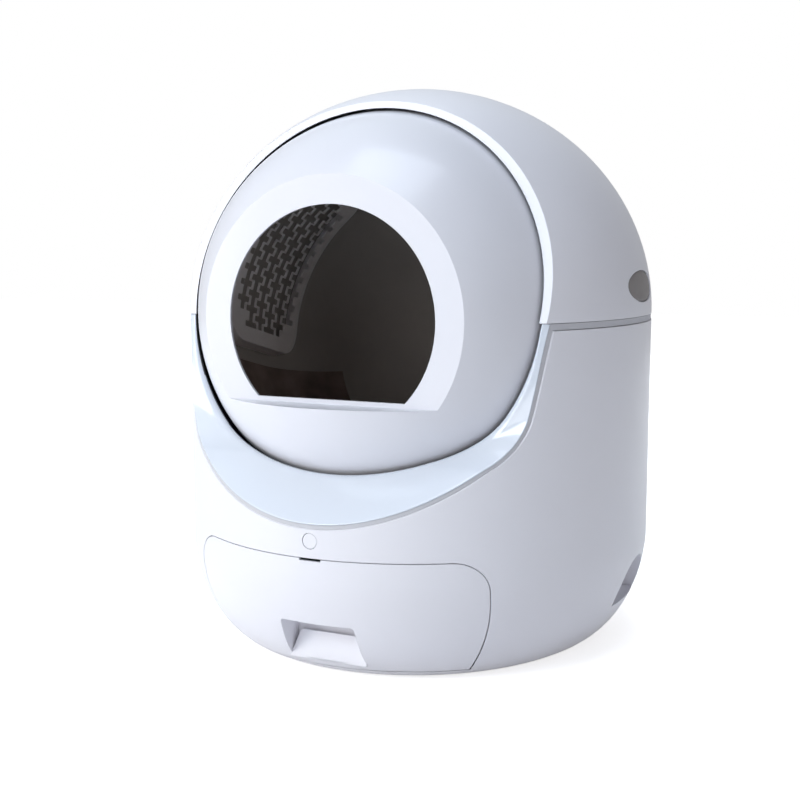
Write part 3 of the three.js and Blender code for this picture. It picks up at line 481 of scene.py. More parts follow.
@dataclass(frozen=True)
class DrumForm:
    """The drum: round front, short barrel and round back on a tilted axis."""

    centre: Place = (0.0, -0.0678, 0.3586)
    tilt: float = math.radians(13.6)
    radius: float = 0.214
    barrel: float = 0.060
    wall: float = 0.003
    near: float = 0.0004

    @property
    def matrix(self) -> Matrix:
        """From the drum's own frame, with its mouth along +Z, to the part's frame."""
        (x, y, z), s, c = self.centre, math.sin(self.tilt), math.cos(self.tilt)
        return Matrix(((1, 0, 0, x), (0, s, -c, y), (0, c, s, z), (0, 0, 0, 1)))

    def outline(self, growth: float, front_rows: int = 40, back_rows: int = 30) -> list[Point]:
        """Sample the form from its front pole to its back pole.

        Args:
            growth: How far the form is grown, or shrunk if negative.
            front_rows: Rows in the round front.
            back_rows: Rows in the round back.

        Returns:
            Radius and place along the axis of each row.
        """
        reach = self.radius + growth
        rows = [(reach * math.sin(t), reach * math.cos(t)) for t in Sums.quarter(front_rows)]
        rows += [(reach * math.cos(t), -self.barrel - reach * math.sin(t)) for t in Sums.quarter(back_rows)]
        rows[0], rows[-1] = (0.0, reach), (0.0, -self.barrel - reach)
        return rows

    def solid(self, growth: float = 0.0) -> Solid:
        """The full solid of the form in the part's frame."""
        return self.seated(Workshop.turned(self.outline(growth)))

    def seated(self, bm: Solid) -> Solid:
        """Put a mesh made in the drum's own frame in its place."""
        return Workshop.moved(bm, self.matrix)

    def slab(self, low: float, high: float) -> Solid:
        """All that lies between two places along the axis."""
        return self.seated(Workshop.block((-FAR, -FAR, low), (FAR, FAR, high)))

    def past(self, along: float) -> float:
        """How far a place along the axis is past the barrel, positive at the front."""
        return along if along > 0 else min(along + self.barrel, 0.0)

    def reach_at(self, along: float, growth: float = 0.0) -> float:
        """Radius of the form at a place along its axis."""
        return math.sqrt(max((self.radius + growth) ** 2 - self.past(along) ** 2, 0.0))

    def away(self, co: Vector) -> Vector:
        """From the nearest point of the drum's spine to a point, in the part's frame."""
        own = self.matrix.inverted() @ co
        return self.matrix.to_3x3() @ Vector((own.x, own.y, self.past(own.z)))

    def distance(self, co: Vector) -> float:
        """How far a point is from the drum's spine."""
        return self.away(co).length

    def normal(self, co: Vector) -> Optional[Vector]:
        """The true direction away from the drum at a point on its skin, or None off it."""
        away = self.away(co)
        return None if abs(away.length - self.radius) > self.near else away.normalized()


@dataclass(frozen=True)
class MouthForm:
    """The surface of the cabinet's mouth round the drum, as a height along the drum's axis."""

    drum: DrumForm = DrumForm()
    distance: float = 0.097
    lip_radius: float = 0.19356
    arm_slope: float = math.radians(20.0)
    knee: Point = (-0.14663, 0.09745)
    lower_slope: float = math.radians(43.6)
    bend: float = 0.090
    setback: float = 0.007
    blend: float = 0.003
    blend_drop: float = 0.1
    half_grid: float = 0.3
    grid_edge: float = 0.299

    def sheet(self, v: float) -> float:
        """Height of the bent sheet that runs forward under the arms.

        Args:
            v: Place across the drum's axis, positive upwards.

        Returns:
            Height along the drum's axis.
        """
        full = 0.5 * math.pi - self.drum.tilt - self.lower_slope
        start = self.knee[0] + self.bend * math.tan(full / 2)
        if v >= start:
            return self.knee[1] - self.setback
        end_v = start - self.bend * math.sin(full)
        end_n = self.knee[1] + self.bend * (1 - math.cos(full))
        if v <= end_v:
            return end_n + (end_v - v) * math.tan(full)
        turn = full * (start - v) / (start - end_v)
        for _ in range(5):
            reach = self.bend + self.setback * (1 - turn / full)
            turn = math.asin(min((start - v) / reach, 1.0))
        reach = self.bend + self.setback * (1 - turn / full)
        return self.knee[1] + self.bend - reach * math.cos(turn)

    def height(self, x: float, v: float) -> float:
        """Height of the mouth's surface, with its crease eased.

        Args:
            x: Place across the drum's axis to the right.
            v: Place across it upwards.

        Returns:
            Height along the drum's axis.
        """
        cone = self.distance - max(0.0, math.hypot(x, v) - self.lip_radius) * math.tan(self.arm_slope)
        sheet = self.sheet(v)
        return 0.5 * (cone + sheet + math.hypot(cone - sheet, self.blend)) - self.blend_drop * self.blend

    def slope(self, x: float, v: float, h: float = 5e-4) -> tuple[float, float]:
        """Rise of the surface along x and along v, measured over a small step."""
        return ((self.height(x + h, v) - self.height(x - h, v)) / (2 * h),
                (self.height(x, v + h) - self.height(x, v - h)) / (2 * h))

    def front(self, x: float, v: float) -> Vector:
        """Outward direction of the surface in the drum's own frame."""
        gx, gv = self.slope(x, v)
        return Vector((-gx, -gv, 1.0)).normalized()

    def spot(self, reach: float, turn: float) -> Vector:
        """The place on the surface that far from the drum's axis, at an angle from straight down."""
        x, v = reach * math.sin(turn), -reach * math.cos(turn)
        return Vector((x, v, self.height(x, v)))

    def behind(self, setback: float, cells: int = 110) -> Solid:
        """All that lies behind the mouth's surface.

        Args:
            setback: How far behind the surface the solid starts.
            cells: Cells along each side of its front.

        Returns:
            A closed solid in the part's frame.
        """
        bm = bmesh.new()
        bmesh.ops.create_grid(bm, x_segments=cells, y_segments=cells, size=self.half_grid)
        back = {v for f in Workshop.raised(bm, bm.faces[:], (0, 0, 0)) for v in f.verts}
        for vert in bm.verts:
            x, v = (math.copysign(FAR, c) if abs(c) > self.grid_edge else c for c in vert.co.xy)
            if vert in back:
                vert.co = x, v, -FAR / 2
                continue
            gx, gv = self.slope(x, v)
            vert.co = x, v, self.height(x, v) - setback * math.sqrt(1 + gx * gx + gv * gv)
        return self.drum.seated(Workshop.tidied(bm))


class Tree:
    """The node tree of a material or of the world."""

    def __init__(self, owner: Union[bpy.types.Material, bpy.types.World]) -> None:
        """Switch the owner's nodes on."""
        owner.use_nodes = True
        self.nodes, self.links = owner.node_tree.nodes, owner.node_tree.links

    def feed(self, node: bpy.types.Node, values: Mapping[Union[str, int], object]) -> bpy.types.Node:
        """Give a node's inputs their values.

        Args:
            node: The node.
            values: By an input's name or number, its value or the socket that feeds it.

        Returns:
            The same node.
        """
        for key, value in values.items():
            if isinstance(value, Socket):
                self.links.new(value, node.inputs[key])
            else:
                node.inputs[key].default_value = value
        return node

    def add(self, kind: str, values: Mapping[Union[str, int], object], **settings: object) -> bpy.types.Node:
        """Add a shader node.

        Args:
            kind: Its type, without the prefix that all of them share.
            values: Its inputs, as feed takes them.
            settings: Its own settings.

        Returns:
            The node.
        """
        node = self.nodes.new(f"ShaderNode{kind}")
        for name, value in settings.items():
            setattr(node, name, value)
        return self.feed(node, values)

    def noise(self, size: float, detail: float) -> Socket:
        """A noise in the piece's own metres, with waves of one size and so many octaves."""
        place = self.add("TexCoord", {}).outputs["Object"]
        return self.add("TexNoise", {"Scale": 1 / size, "Detail": detail, "Vector": place}).outputs["Fac"]

    def spread(self, source: Socket, low: float, high: float) -> Socket:
        """Map a noise's middle range between two values."""
        return self.mapped(source, (0.3, 0.7), (low, high))

    def mapped(self, source: Socket, old: Point, new: Point) -> Socket:
        """Map a value's range to another."""
        ends = {"From Min": old[0], "From Max": old[1], "To Min": new[0], "To Max": new[1]}
        return self.add("MapRange", {**ends, "Value": source}).outputs["Result"]


@dataclass(frozen=True)
class Finish:
    """A moulded or coated surface with fine grain, soft colour drift and some wear.

    Colours are plain red, green and blue shares of light.
    """

    name: str
    colour: Colour
    worn: Colour
    roughness: float
    roughness_spread: float = 0.06
    grain_size: float = 0.0009
    grain_depth: float = 0.04
    grain_height: float = 0.0002
    drift_size: float = 0.12
    patch_share: float = 0.22
    metallic: float = 0.0
    coat: float = 0.0
    coat_roughness: float = 0.08
    edge: float = 0.0007

    def material(self) -> bpy.types.Material:
        """Build the node tree once and return the material.

        Returns:
            The material.
        """
        known = bpy.data.materials.get(self.name)
        if known is not None:
            return known
        material = bpy.data.materials.new(self.name)
        tree = Tree(material)
        drift = tree.spread(tree.noise(self.drift_size, 3.0), 0.0, 1.0)
        patches = tree.spread(tree.noise(self.drift_size * self.patch_share, 4.0),
                              self.roughness - self.roughness_spread, self.roughness + self.roughness_spread)
        colour = tree.add("Mix", {"Factor": drift, "A": (*self.colour, 1), "B": (*self.worn, 1)}, data_type="RGBA")
        bump = tree.add("Bump", {"Strength": self.grain_depth, "Distance": self.grain_height,
                                 "Height": tree.noise(self.grain_size, 2.0)})
        if self.edge > 0:
            tree.feed(bump, {"Normal": tree.add("Bevel", {"Radius": self.edge}, samples=4).outputs["Normal"]})
        tree.feed(tree.nodes["Principled BSDF"], {
            "Base Color": colour.outputs["Result"], "Roughness": patches, "Normal": bump.outputs["Normal"],
            "Metallic": self.metallic, "Coat Weight": self.coat, "Coat Roughness": self.coat_roughness,
        })
        return material

    def dress(self, obj: bpy.types.Object) -> None:
        """Put the finish on every face of an object.

        Args:
            obj: The object.
        """
        obj.data.materials.clear()
        obj.data.materials.append(self.material())
        obj.data.polygons.foreach_set("material_index", [0] * len(obj.data.polygons))


class Finishes:
    """The finishes of the litter box."""

    SHELL = Finish("shell_satin_white", (0.845, 0.84, 0.885), (0.837, 0.831, 0.874), 0.34, 0.015, coat=0.15,
                   edge=0.001)
    BEZEL = Finish("bezel_gloss_white", (0.75, 0.80, 0.875), (0.742, 0.79, 0.864), 0.16, 0.012, coat=0.6)
    DRUM = Finish("drum_satin_white", (0.80, 0.803, 0.854), (0.792, 0.794, 0.843), 0.30, 0.015, coat=0.2)
    BIN = Finish("bin_matt_white", (0.72, 0.72, 0.71), (0.68, 0.67, 0.65), 0.55)
    TRIM = Finish("trim_grey", (0.38, 0.375, 0.40), (0.35, 0.345, 0.365), 0.45)
    PAD = Finish("pad_warm_grey", (0.245, 0.225, 0.218), (0.22, 0.20, 0.195), 0.5)
    SIEVE = Finish("sieve_light_grey", (0.94, 0.92, 0.92), (0.90, 0.88, 0.875), 0.45, 0.03)
    LINER = Finish("liner_dark_brown", (0.17, 0.128, 0.11), (0.31, 0.24, 0.21), 0.85, drift_size=0.035,
                   grain_size=0.002, grain_depth=0.35, edge=0.0)
    DARK = Finish("inside_dark", (0.43, 0.41, 0.39), (0.47, 0.445, 0.42), 0.8, edge=0.0)
    # Painted shadow: black for the faces that line the drum's gap, where only shade falls.
    PAINTED_GAP_SHADOW = Finish("gap_painted_shadow", (0.02, 0.02, 0.021), (0.03, 0.03, 0.031), 0.7, edge=0.0)
    FRAME = Finish("frame_grey", (0.15, 0.155, 0.165), (0.13, 0.133, 0.14), 0.6)
    RUBBER = Finish("rubber_black", (0.018, 0.018, 0.019), (0.028, 0.028, 0.028), 0.85)
    SOCKET = Finish("socket_black", (0.014, 0.014, 0.015), (0.02, 0.02, 0.021), 0.5)
    GEAR = Finish("gear_natural_white", (0.66, 0.66, 0.64), (0.6, 0.6, 0.57), 0.45)
    STEEL = Finish("steel_plated", (0.46, 0.47, 0.49), (0.38, 0.385, 0.4), 0.32, metallic=1.0)
    BOARD = Finish("board_green", (0.012, 0.09, 0.042), (0.01, 0.07, 0.034), 0.45)


@dataclass
class Shell:
    """What every sub-assembly of the cabinet shares: the forms that it is cut from."""

    cabinet: CabinetForm
    drum: DrumForm
    mouth: MouthForm
    running_gap: float = 0.0025
    # How far past the running gap the painted gap shadow reaches.
    shadow_paint_depth: float = 0.0008
    seam_gap: float = 0.0006
    skin_inset: float = 0.0004

    @staticmethod
    def between(low: float, high: float) -> Solid:
        """All that lies between two heights."""
        return Workshop.block((-FAR, -FAR, low), (FAR, FAR, high))

    def sweep(self) -> Solid:
        """The space in which the drum turns."""
        return self.drum.solid(self.running_gap)

    def paint_gap_shadow(self, obj: bpy.types.Object, facing: float = 0.7) -> None:
        """Paint the faces that line the drum's gap black, as a painted shadow for the dark gap between drum and
        cabinet.

        Args:
            obj: The piece beside the gap.
            facing: How squarely a face has to look at the drum.
        """
        # Painted shadow: the black finish goes on the faces that look at the drum across the gap.
        obj.data.materials.append(Finishes.PAINTED_GAP_SHADOW.material())
        reach = self.drum.radius + self.running_gap + self.shadow_paint_depth
        for face in obj.data.polygons:
            away = self.drum.away(face.center)
            if away.length < reach and away.dot(face.normal) < -facing * away.length:
                face.material_index = 1

    @staticmethod
    def settle(obj: bpy.types.Object, finish: Finish, slot: str, body: str, *nodes: str,
               field: Optional[Field] = None) -> None:
        """Shade, dress and seat a finished piece.

        Args:
            obj: The piece.
            finish: Its finish.
            slot: The record's material slot; not used.
            body: The body that it rides on.
            nodes: The CAD nodes that it stands for.
            field: The true normals of its curved surface.
        """
        Workshop.smooth(obj, field)
        finish.dress(obj)
        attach(obj, body)
        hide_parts(*nodes)
        LOG.info("%s: %d faces, on %s", obj.name, len(obj.data.polygons), body)


@dataclass
class Hood(Shell):
    """The crown of the cabinet with its ring face, and the oval pads that let it go."""

    running_gap: float = 0.0032
    pad_half_length: float = 0.047
    pad_half_height: float = 0.016
    pad_height: float = 0.388
    pad_recess: float = 0.0008
    pad_gap: float = 0.0006
    pad_depth: float = 0.016
    pad_rim: float = 0.0012
    pad_facets: int = 96
    pad_insets: tuple[float, ...] = (0.012, 0.02, 0.03, 0.12, 0.2, 0.2, 0.2)
    sleeve_wall: float = 0.002
    sleeve_inset: float = 0.0006
    sleeve_floor: float = 0.002
    pocket_play: float = 0.004

    def oval(self, growth: float, steps: int = 72) -> list[Point]:
        """The outline of a pad, grown by a gap, as places along Y and Z.

        Args:
            growth: The gap.
            steps: Corners of the outline.

        Returns:
            The corners.
        """
        turns = [2 * math.pi * i / steps for i in range(steps)]
        return [((self.pad_half_length + growth) * math.cos(t),
                 self.pad_height + (self.pad_half_height + growth) * math.sin(t)) for t in turns]

    def shell(self) -> None:
        """Cut the hood from the cabinet's form, with a sleeve for each pad."""
        cabinet, along = self.cabinet, self.mouth.distance
        hood = Workshop.piece(cabinet.solid(), "hood")
        Workshop.carve(hood, Cut.WITHIN, self.between(cabinet.seam, FAR), self.drum.slab(-FAR, along))
        hollow = Workshop.worked(cabinet.solid(cabinet.wall), Cut.WITHIN, self.drum.slab(-FAR, along - cabinet.wall))
        Workshop.carve(hood, Cut.AWAY, hollow, self.sweep())
        pocket = cabinet.half_width - self.pad_depth - self.pocket_play
        for side in (-1, 1):
            sleeve = Workshop.outwards(self.oval(self.pad_gap + self.sleeve_wall), side, pocket - self.sleeve_floor)
            sleeve = Workshop.worked(sleeve, Cut.WITHIN, cabinet.solid(self.sleeve_inset))
            Workshop.carve(hood, Cut.WITH, sleeve)
            Workshop.carve(hood, Cut.AWAY, Workshop.outwards(self.oval(self.pad_gap), side, pocket))
        self.settle(hood, Finishes.SHELL, "shell_white", "hood", "hood_shell", field=cabinet.normal)
        # Painted shadow: the faces lining the drum's gap turn black.
        self.paint_gap_shadow(hood)

    def pad(self, side: int) -> None:
        """Make a pad that follows the flank, with a rounded rim.

        Args:
            side: -1 for the left, 1 for the right.
        """
        hand = "left" if side < 0 else "right"
        bm = bmesh.new()
        bmesh.ops.create_circle(bm, cap_ends=True, radius=1.0, segments=self.pad_facets)
        cap = Workshop.raised(bm, bm.faces[:], (0, 0, 1))
        for share in self.pad_insets:
            bmesh.ops.inset_region(bm, faces=cap, thickness=share, use_even_offset=True)
        for vert in bm.verts:
            y = vert.co.x * self.pad_half_length
            z = self.pad_height + vert.co.y * self.pad_half_height
            edge = (1 - math.hypot(vert.co.x, vert.co.y)) * self.pad_half_height
            drop = self.pad_rim - math.sqrt(max(self.pad_rim ** 2 - max(self.pad_rim - edge, 0) ** 2, 0))
            front = self.cabinet.flank_x(y, z, self.pad_recess + drop)
            back = self.cabinet.half_width - self.pad_depth
            vert.co = side * (front if vert.co.z > 0.5 else back), y, z
        pad = Workshop.piece(Workshop.tidied(bm), f"hood_pad_{hand}")
        self.settle(pad, Finishes.PAD, "button_grey", f"hood_button_{hand}", f"hood_button_{hand}")

    def build(self) -> None:
        """Build the hood and both pads."""
        self.shell()
        for side in (-1, 1):
            self.pad(side)


@dataclass
class Crescent(Shell):
    """The glossy moulding under and beside the drum, rolled over at its inner edge."""

    running_gap: float = 0.0038
    columns: int = 220
    flange: float = 0.012
    roll: float = 0.008
    roll_at_seam: float = 0.0012
    lip: float = 0.0010
    skin: float = 0.0013
    half_angle: float = math.radians(88.0)
    seam_angle: float = math.radians(82.5)
    outer_range: Point = (0.185, 0.30)
    roll_range: Point = (0.17, 0.23)
    narrowing: tuple[float, float, float] = (0.55, 0.42, 1.2)
    cells: tuple[int, int, int, int] = (4, 10, 22, 4)

    def outer_reach(self, turn: float) -> float:
        """How far from the drum's axis the surface meets the cabinet's outside.

        Args:
            turn: Angle about the drum's axis from straight down.

        Returns:
            The distance.
        """
        def inside(reach: float) -> bool:
            """Whether the surface is still within the cabinet."""
            place = self.drum.matrix @ self.mouth.spot(reach, turn)
            return math.hypot(place.x / self.cabinet.half_width, place.y / self.cabinet.half_depth) < 1
        return Sums.last_inside(*self.outer_range, inside)

    def roll_centre(self, turn: float, roll: float) -> tuple[float, Vector]:
        """Where the rolled edge between the mouth and the drum's space has its centre.

        Args:
            turn: Angle about the drum's axis from straight down.
            roll: Radius of the roll.

        Returns:
            The distance at which the roll meets the mouth's surface, and the centre.
        """
        def centre(reach: float) -> Vector:
            """The centre of a roll that meets the surface at a distance."""
            spot = self.mouth.spot(reach, turn)
            return spot - roll * self.mouth.front(spot.x, spot.y)
        limit = self.drum.radius + self.running_gap + roll
        start = Sums.last_inside(*self.roll_range, lambda reach: centre(reach).length < limit)
        return start, centre(start)

    def rows(self, turn: float) -> list[Vector]:
        """One column of the moulding, from the flange's back edge over the roll to the outer edge.

        Args:
            turn: Angle about the drum's axis from straight down.

        Returns:
            Its points in the drum's own frame.
        """
        flange, rolled, sheet, lip = self.cells
        begin, run, power = self.narrowing
        share = min(1.0, max(0.0, (abs(turn) / self.seam_angle - begin) / run)) ** power
        roll = self.roll + (self.roll_at_seam - self.roll) * share
        start, centre = self.roll_centre(turn, roll)
        spoke = -centre.normalized()
        flat = Vector((math.sin(turn), -math.cos(turn), 0))
        edge = (centre + roll * spoke).z
        made = [flat * self.drum.reach_at(along, self.running_gap) + Vector((0, 0, along))
                for along in Sums.spaced(edge - self.flange, edge, flange)[:-1]]
        first = self.mouth.spot(start, turn)
        front = self.mouth.front(first.x, first.y)
        made += [centre + roll * spoke.slerp(front, i) for i in Sums.spaced(0.0, 1.0, rolled)]
        rim = self.outer_reach(turn) - self.lip
        made += [self.mouth.spot(reach, turn) for reach in Sums.spaced(start, rim, sheet)[1:]]
        last = made[-1]
        front = self.mouth.front(last.x, last.y)
        out = (flat - flat.dot(front) * front).normalized()
        made += [last + self.lip * (math.sin(t) * out - (1 - math.cos(t)) * front) for t in Sums.quarter(lip)[1:]]
        return made

    def build(self) -> None:
        """Map a grid over the moulding, cut it at the seam and give it its wall."""
        last = len(self.rows(0.0)) - 1
        bm = bmesh.new()
        bmesh.ops.create_grid(bm, x_segments=self.columns, y_segments=last, size=0.5)
        columns = [self.rows(turn) for turn in Sums.spaced(-self.half_angle, self.half_angle, self.columns)]
        for vert in bm.verts:
            vert.co = columns[round((vert.co.x + 0.5) * self.columns)][round((vert.co.y + 0.5) * last)]
        self.drum.seated(bm)
        Workshop.sliced(bm, (0, 0, self.cabinet.seam - self.seam_gap), (0, 0, 1), drop=True)
        bmesh.ops.recalc_face_normals(bm, faces=bm.faces[:])
        foremost = min(bm.faces, key=lambda f: f.calc_center_median().y)
        if foremost.normal.y > 0:
            bmesh.ops.reverse_faces(bm, faces=bm.faces[:])
        crescent = Workshop.piece(bm, "crescent")
        wall = crescent.modifiers.new("wall", "SOLIDIFY")
        wall.thickness, wall.offset, wall.use_even_offset = self.skin, -1.0, True
        Workshop.bake(crescent)
        self.settle(crescent, Finishes.BEZEL, "bezel_white", "base", "mouth_bezel")
        # Painted shadow: the faces lining the drum's gap turn black.
        self.paint_gap_shadow(crescent)


@dataclass
class SeamTrim(Shell):
    """The thin grey strip between hood and base that dips under the crescent."""

    lip: float = 0.0015
    width: float = 0.0025
    band: float = 0.0066
    recess: float = 0.0008
    lowest: float = 0.10

    def build(self) -> None:
        """Cut the strip from the cabinet's wall."""
        cabinet = self.cabinet
        trim = Workshop.piece(cabinet.solid(self.recess), "seam_strip")
        Workshop.carve(trim, Cut.AWAY, cabinet.solid(cabinet.wall))
        Workshop.carve(trim, Cut.WITHIN, self.between(self.lowest, cabinet.seam - self.seam_gap),
                       self.mouth.behind(self.lip))
        rest = Workshop.worked(self.mouth.behind(self.lip + self.width), Cut.WITHIN,
                               self.between(-self.lowest, cabinet.seam - self.band))
        Workshop.carve(trim, Cut.AWAY, rest)
        self.settle(trim, Finishes.TRIM, "trim_grey", "base", "seam_trim")


@dataclass
class DrawerOutline:
    """The drawer's outline across the front: round shoulders, sides that draw in towards the floor."""

    half_width: float = 0.161
    draw_in: float = 0.0315
    top: float = 0.132
    floor: float = 0.012
    corner: float = 0.030
    power: float = 2.2
    steps: int = 12

    def points(self, growth: float) -> list[Point]:
        """Corners of the outline grown by a gap, as places along X and Z.

        Args:
            growth: The gap.

        Returns:
            The corners.
        """
        side, floor = self.half_width + growth, self.floor - growth
        corner, shoulder = self.corner + growth, self.top - self.corner
        right = [(side - self.draw_in * share ** self.power, shoulder - (shoulder - floor) * share)
                 for share in Sums.spaced(1.0, 0.0, self.steps)[:-1]]
        right += [(side - corner + corner * math.cos(t), shoulder + corner * math.sin(t))
                  for t in Sums.quarter(self.steps)]
        return right + [(-x, z) for x, z in reversed(right)]


@dataclass
class BaseShell(Shell):
    """The outer wall of the base with its drawer opening, button hole, grips and socket hole."""

    outline: DrawerOutline = field(default_factory=DrawerOutline)
    trim_back: float = 0.0045
    bottom: float = 0.003
    seam_drop: float = 0.0072
    drawer_gap: float = 0.0008
    button_radius: float = 0.0080
    button_height: float = 0.1496
    grip_half_width: float = 0.0445
    grip_floor: float = 0.052
    grip_rise: float = 0.047
    grip_depth: float = 0.032
    grip_power: float = 2.15
    socket: tuple[float, float, float] = (0.070, 0.058, 0.0083)
    hole_facets: int = 64
    socket_facets: int = 48

    def grip(self, side: int, growth: float, steps: int = 30) -> Solid:
        """The pocket of a hand grip in one flank, grown by a wall.

        Args:
            side: -1 for the left, 1 for the right.
            growth: The wall.
            steps: Edges of the outline.

        Returns:
            A solid that runs out through the flank.
        """
        points = []
        for t in Sums.spaced(0.0, math.pi, steps):
            across = math.copysign(abs(math.cos(t)) ** (2 / self.grip_power), math.cos(t))
            points.append((across * (self.grip_half_width + growth), self.grip_floor - growth
                           + abs(math.sin(t)) ** (2 / self.grip_power) * (self.grip_rise + 2 * growth)))
        return Workshop.outwards(points, side, self.cabinet.half_width - self.grip_depth - growth)

    def build(self) -> None:
        """Cut the base from the cabinet's form."""
        cabinet = self.cabinet
        base = Workshop.piece(cabinet.solid(), "base_wall")
        Workshop.carve(base, Cut.WITHIN, self.mouth.behind(self.trim_back),
                       self.between(self.bottom, cabinet.seam - self.seam_drop))
        Workshop.carve(base, Cut.AWAY, cabinet.solid(cabinet.wall))
        for side in (-1, 1):
            cup = Workshop.worked(self.grip(side, cabinet.wall), Cut.WITHIN, cabinet.solid(self.skin_inset))
            Workshop.carve(base, Cut.WITH, cup)
            Workshop.carve(base, Cut.AWAY, self.grip(side, 0.0))
        x, z, radius = self.socket
        front = Workshop.rod(self.button_radius, -FAR, 0, self.hole_facets)
        back = Workshop.rod(radius, 0, FAR, self.socket_facets)
        Workshop.carve(base, Cut.AWAY, Workshop.prism(self.outline.points(self.drawer_gap), Axis.Y, -FAR, 0.0),
                       Workshop.laid(front, (0, 0, self.button_height), -math.pi / 2),
                       Workshop.laid(back, (x, 0, z), -math.pi / 2))
        self.settle(base, Finishes.SHELL, "shell_white", "base", "base_shell", field=cabinet.normal)


@dataclass
class Drawer(Shell):
    """The curved panel with its finger pull and notch."""

    outline: DrawerOutline = field(default_factory=DrawerOutline)
    wall: float = 0.003
    pull_half_width: float = 0.0405
    pull_flare: float = 0.001
    pull_corner: float = 0.004
    pull_top: float = 0.065
    pull_bottom: float = 0.0205
    pull_back: float = -0.222
    ramp_top: float = 0.0455
    ramp_head: float = -0.2275
    ramp_foot: float = -0.2362
    ramp_wall: float = 0.0016
    ramp_half_width: float = 0.0362
    ramp_sunk: float = 0.0015
    notch_half_width: float = 0.0115
    notch_depth: float = 0.002

    @staticmethod
    def rounded(foot: float, top: float, low: float, high: float, corner: float) -> list[Point]:
        """An outline that narrows towards its top and has round top corners.

        Args:
            foot: Half its width at the foot.
            top: Half its width at the top.
            low: Height of the foot.
            high: Height of the top.
            corner: Radius of the corners.

        Returns:
            Its corners as places along X and Z.
        """
        arc = [(top - corner + corner * math.cos(t), high - corner + corner * math.sin(t)) for t in Sums.quarter(6)]
        return [(foot, low), *arc, *[(-x, z) for x, z in reversed(arc)], (-foot, low)]

    def ramp(self) -> Solid:
        """The plate that stands in the pull and runs out at its foot.

        Returns:
            A closed solid.
        """
        slope = (self.ramp_head - self.ramp_foot) / (self.ramp_top - self.pull_bottom)
        y, z = self.ramp_foot - slope * self.ramp_sunk, self.pull_bottom - self.ramp_sunk
        profile = [(y, z), (self.ramp_head, self.ramp_top), (self.ramp_head + self.ramp_wall, self.ramp_top),
                   (y + self.ramp_wall, z)]
        wide = self.pull_half_width + self.pull_flare + self.ramp_sunk
        outline = self.rounded(wide, self.ramp_half_width, z, self.ramp_top, self.pull_corner)
        return Workshop.worked(Workshop.prism(profile, Axis.X, -wide, wide), Cut.WITHIN,
                               Workshop.prism(outline, Axis.Y, -FAR, 0.0))

    def pocket(self, growth: float) -> Solid:
        """The finger pull's space, with its top corners rounded.

        Args:
            growth: How far it is grown.

        Returns:
            A solid that runs out through the front.
        """
        foot, high = self.pull_half_width + self.pull_flare + growth, self.pull_top + growth
        outline = self.rounded(foot, self.pull_half_width + growth, self.pull_bottom - growth, high,
                               self.pull_corner + growth)
        return Workshop.prism(outline, Axis.Y, -FAR, self.pull_back + growth)

    def build(self) -> None:
        """Cut the panel from the cabinet's form."""
        cabinet, top = self.cabinet, self.outline.top
        outline = Workshop.prism(self.outline.points(0.0), Axis.Y, -FAR, 0.0)
        panel = Workshop.piece(cabinet.solid(), "drawer_panel")
        Workshop.carve(panel, Cut.AWAY, cabinet.solid(self.wall))
        Workshop.carve(panel, Cut.WITHIN, outline.copy())
        cup = Workshop.worked(self.pocket(self.wall), Cut.WITHIN, cabinet.solid(self.skin_inset), outline)
        Workshop.carve(panel, Cut.WITH, cup)
        notch = Workshop.block((-self.notch_half_width, -FAR, top - self.notch_depth),
                               (self.notch_half_width, 0, top + self.notch_depth))
        Workshop.carve(panel, Cut.AWAY, self.pocket(0.0), notch)
        Workshop.carve(panel, Cut.WITH, self.ramp())
        self.settle(panel, Finishes.SHELL, "shell_white", "drawer", "drawer_front", field=cabinet.normal)


@dataclass
class FrontButton(Shell):
    """The small round button over the drawer."""

    radius: float = 0.0076
    height: float = 0.1496
    face: float = -0.27265
    depth: float = 0.0062
    round_edge: float = 0.0006
    dish_share: float = 0.8
    dish_depth: float = 0.00025
    facets: int = 72

    def build(self) -> None:
        """Turn the button and seat it behind its hole."""
        dish = [(self.radius * self.dish_share * share, -self.dish_depth * (1 - share ** 2))
                for share in Sums.spaced(0.0, 1.0, 6)]
        rim = Sums.rim(self.radius, self.round_edge, 5)
        bm = Workshop.turned([*dish, *rim, (self.radius, -self.depth), (0, -self.depth)], self.facets)
        button = Workshop.piece(Workshop.laid(bm, (0, self.face, self.height), math.pi / 2), "round_button")
        self.settle(button, Finishes.SHELL, "shell_white", "front_button", "front_button")


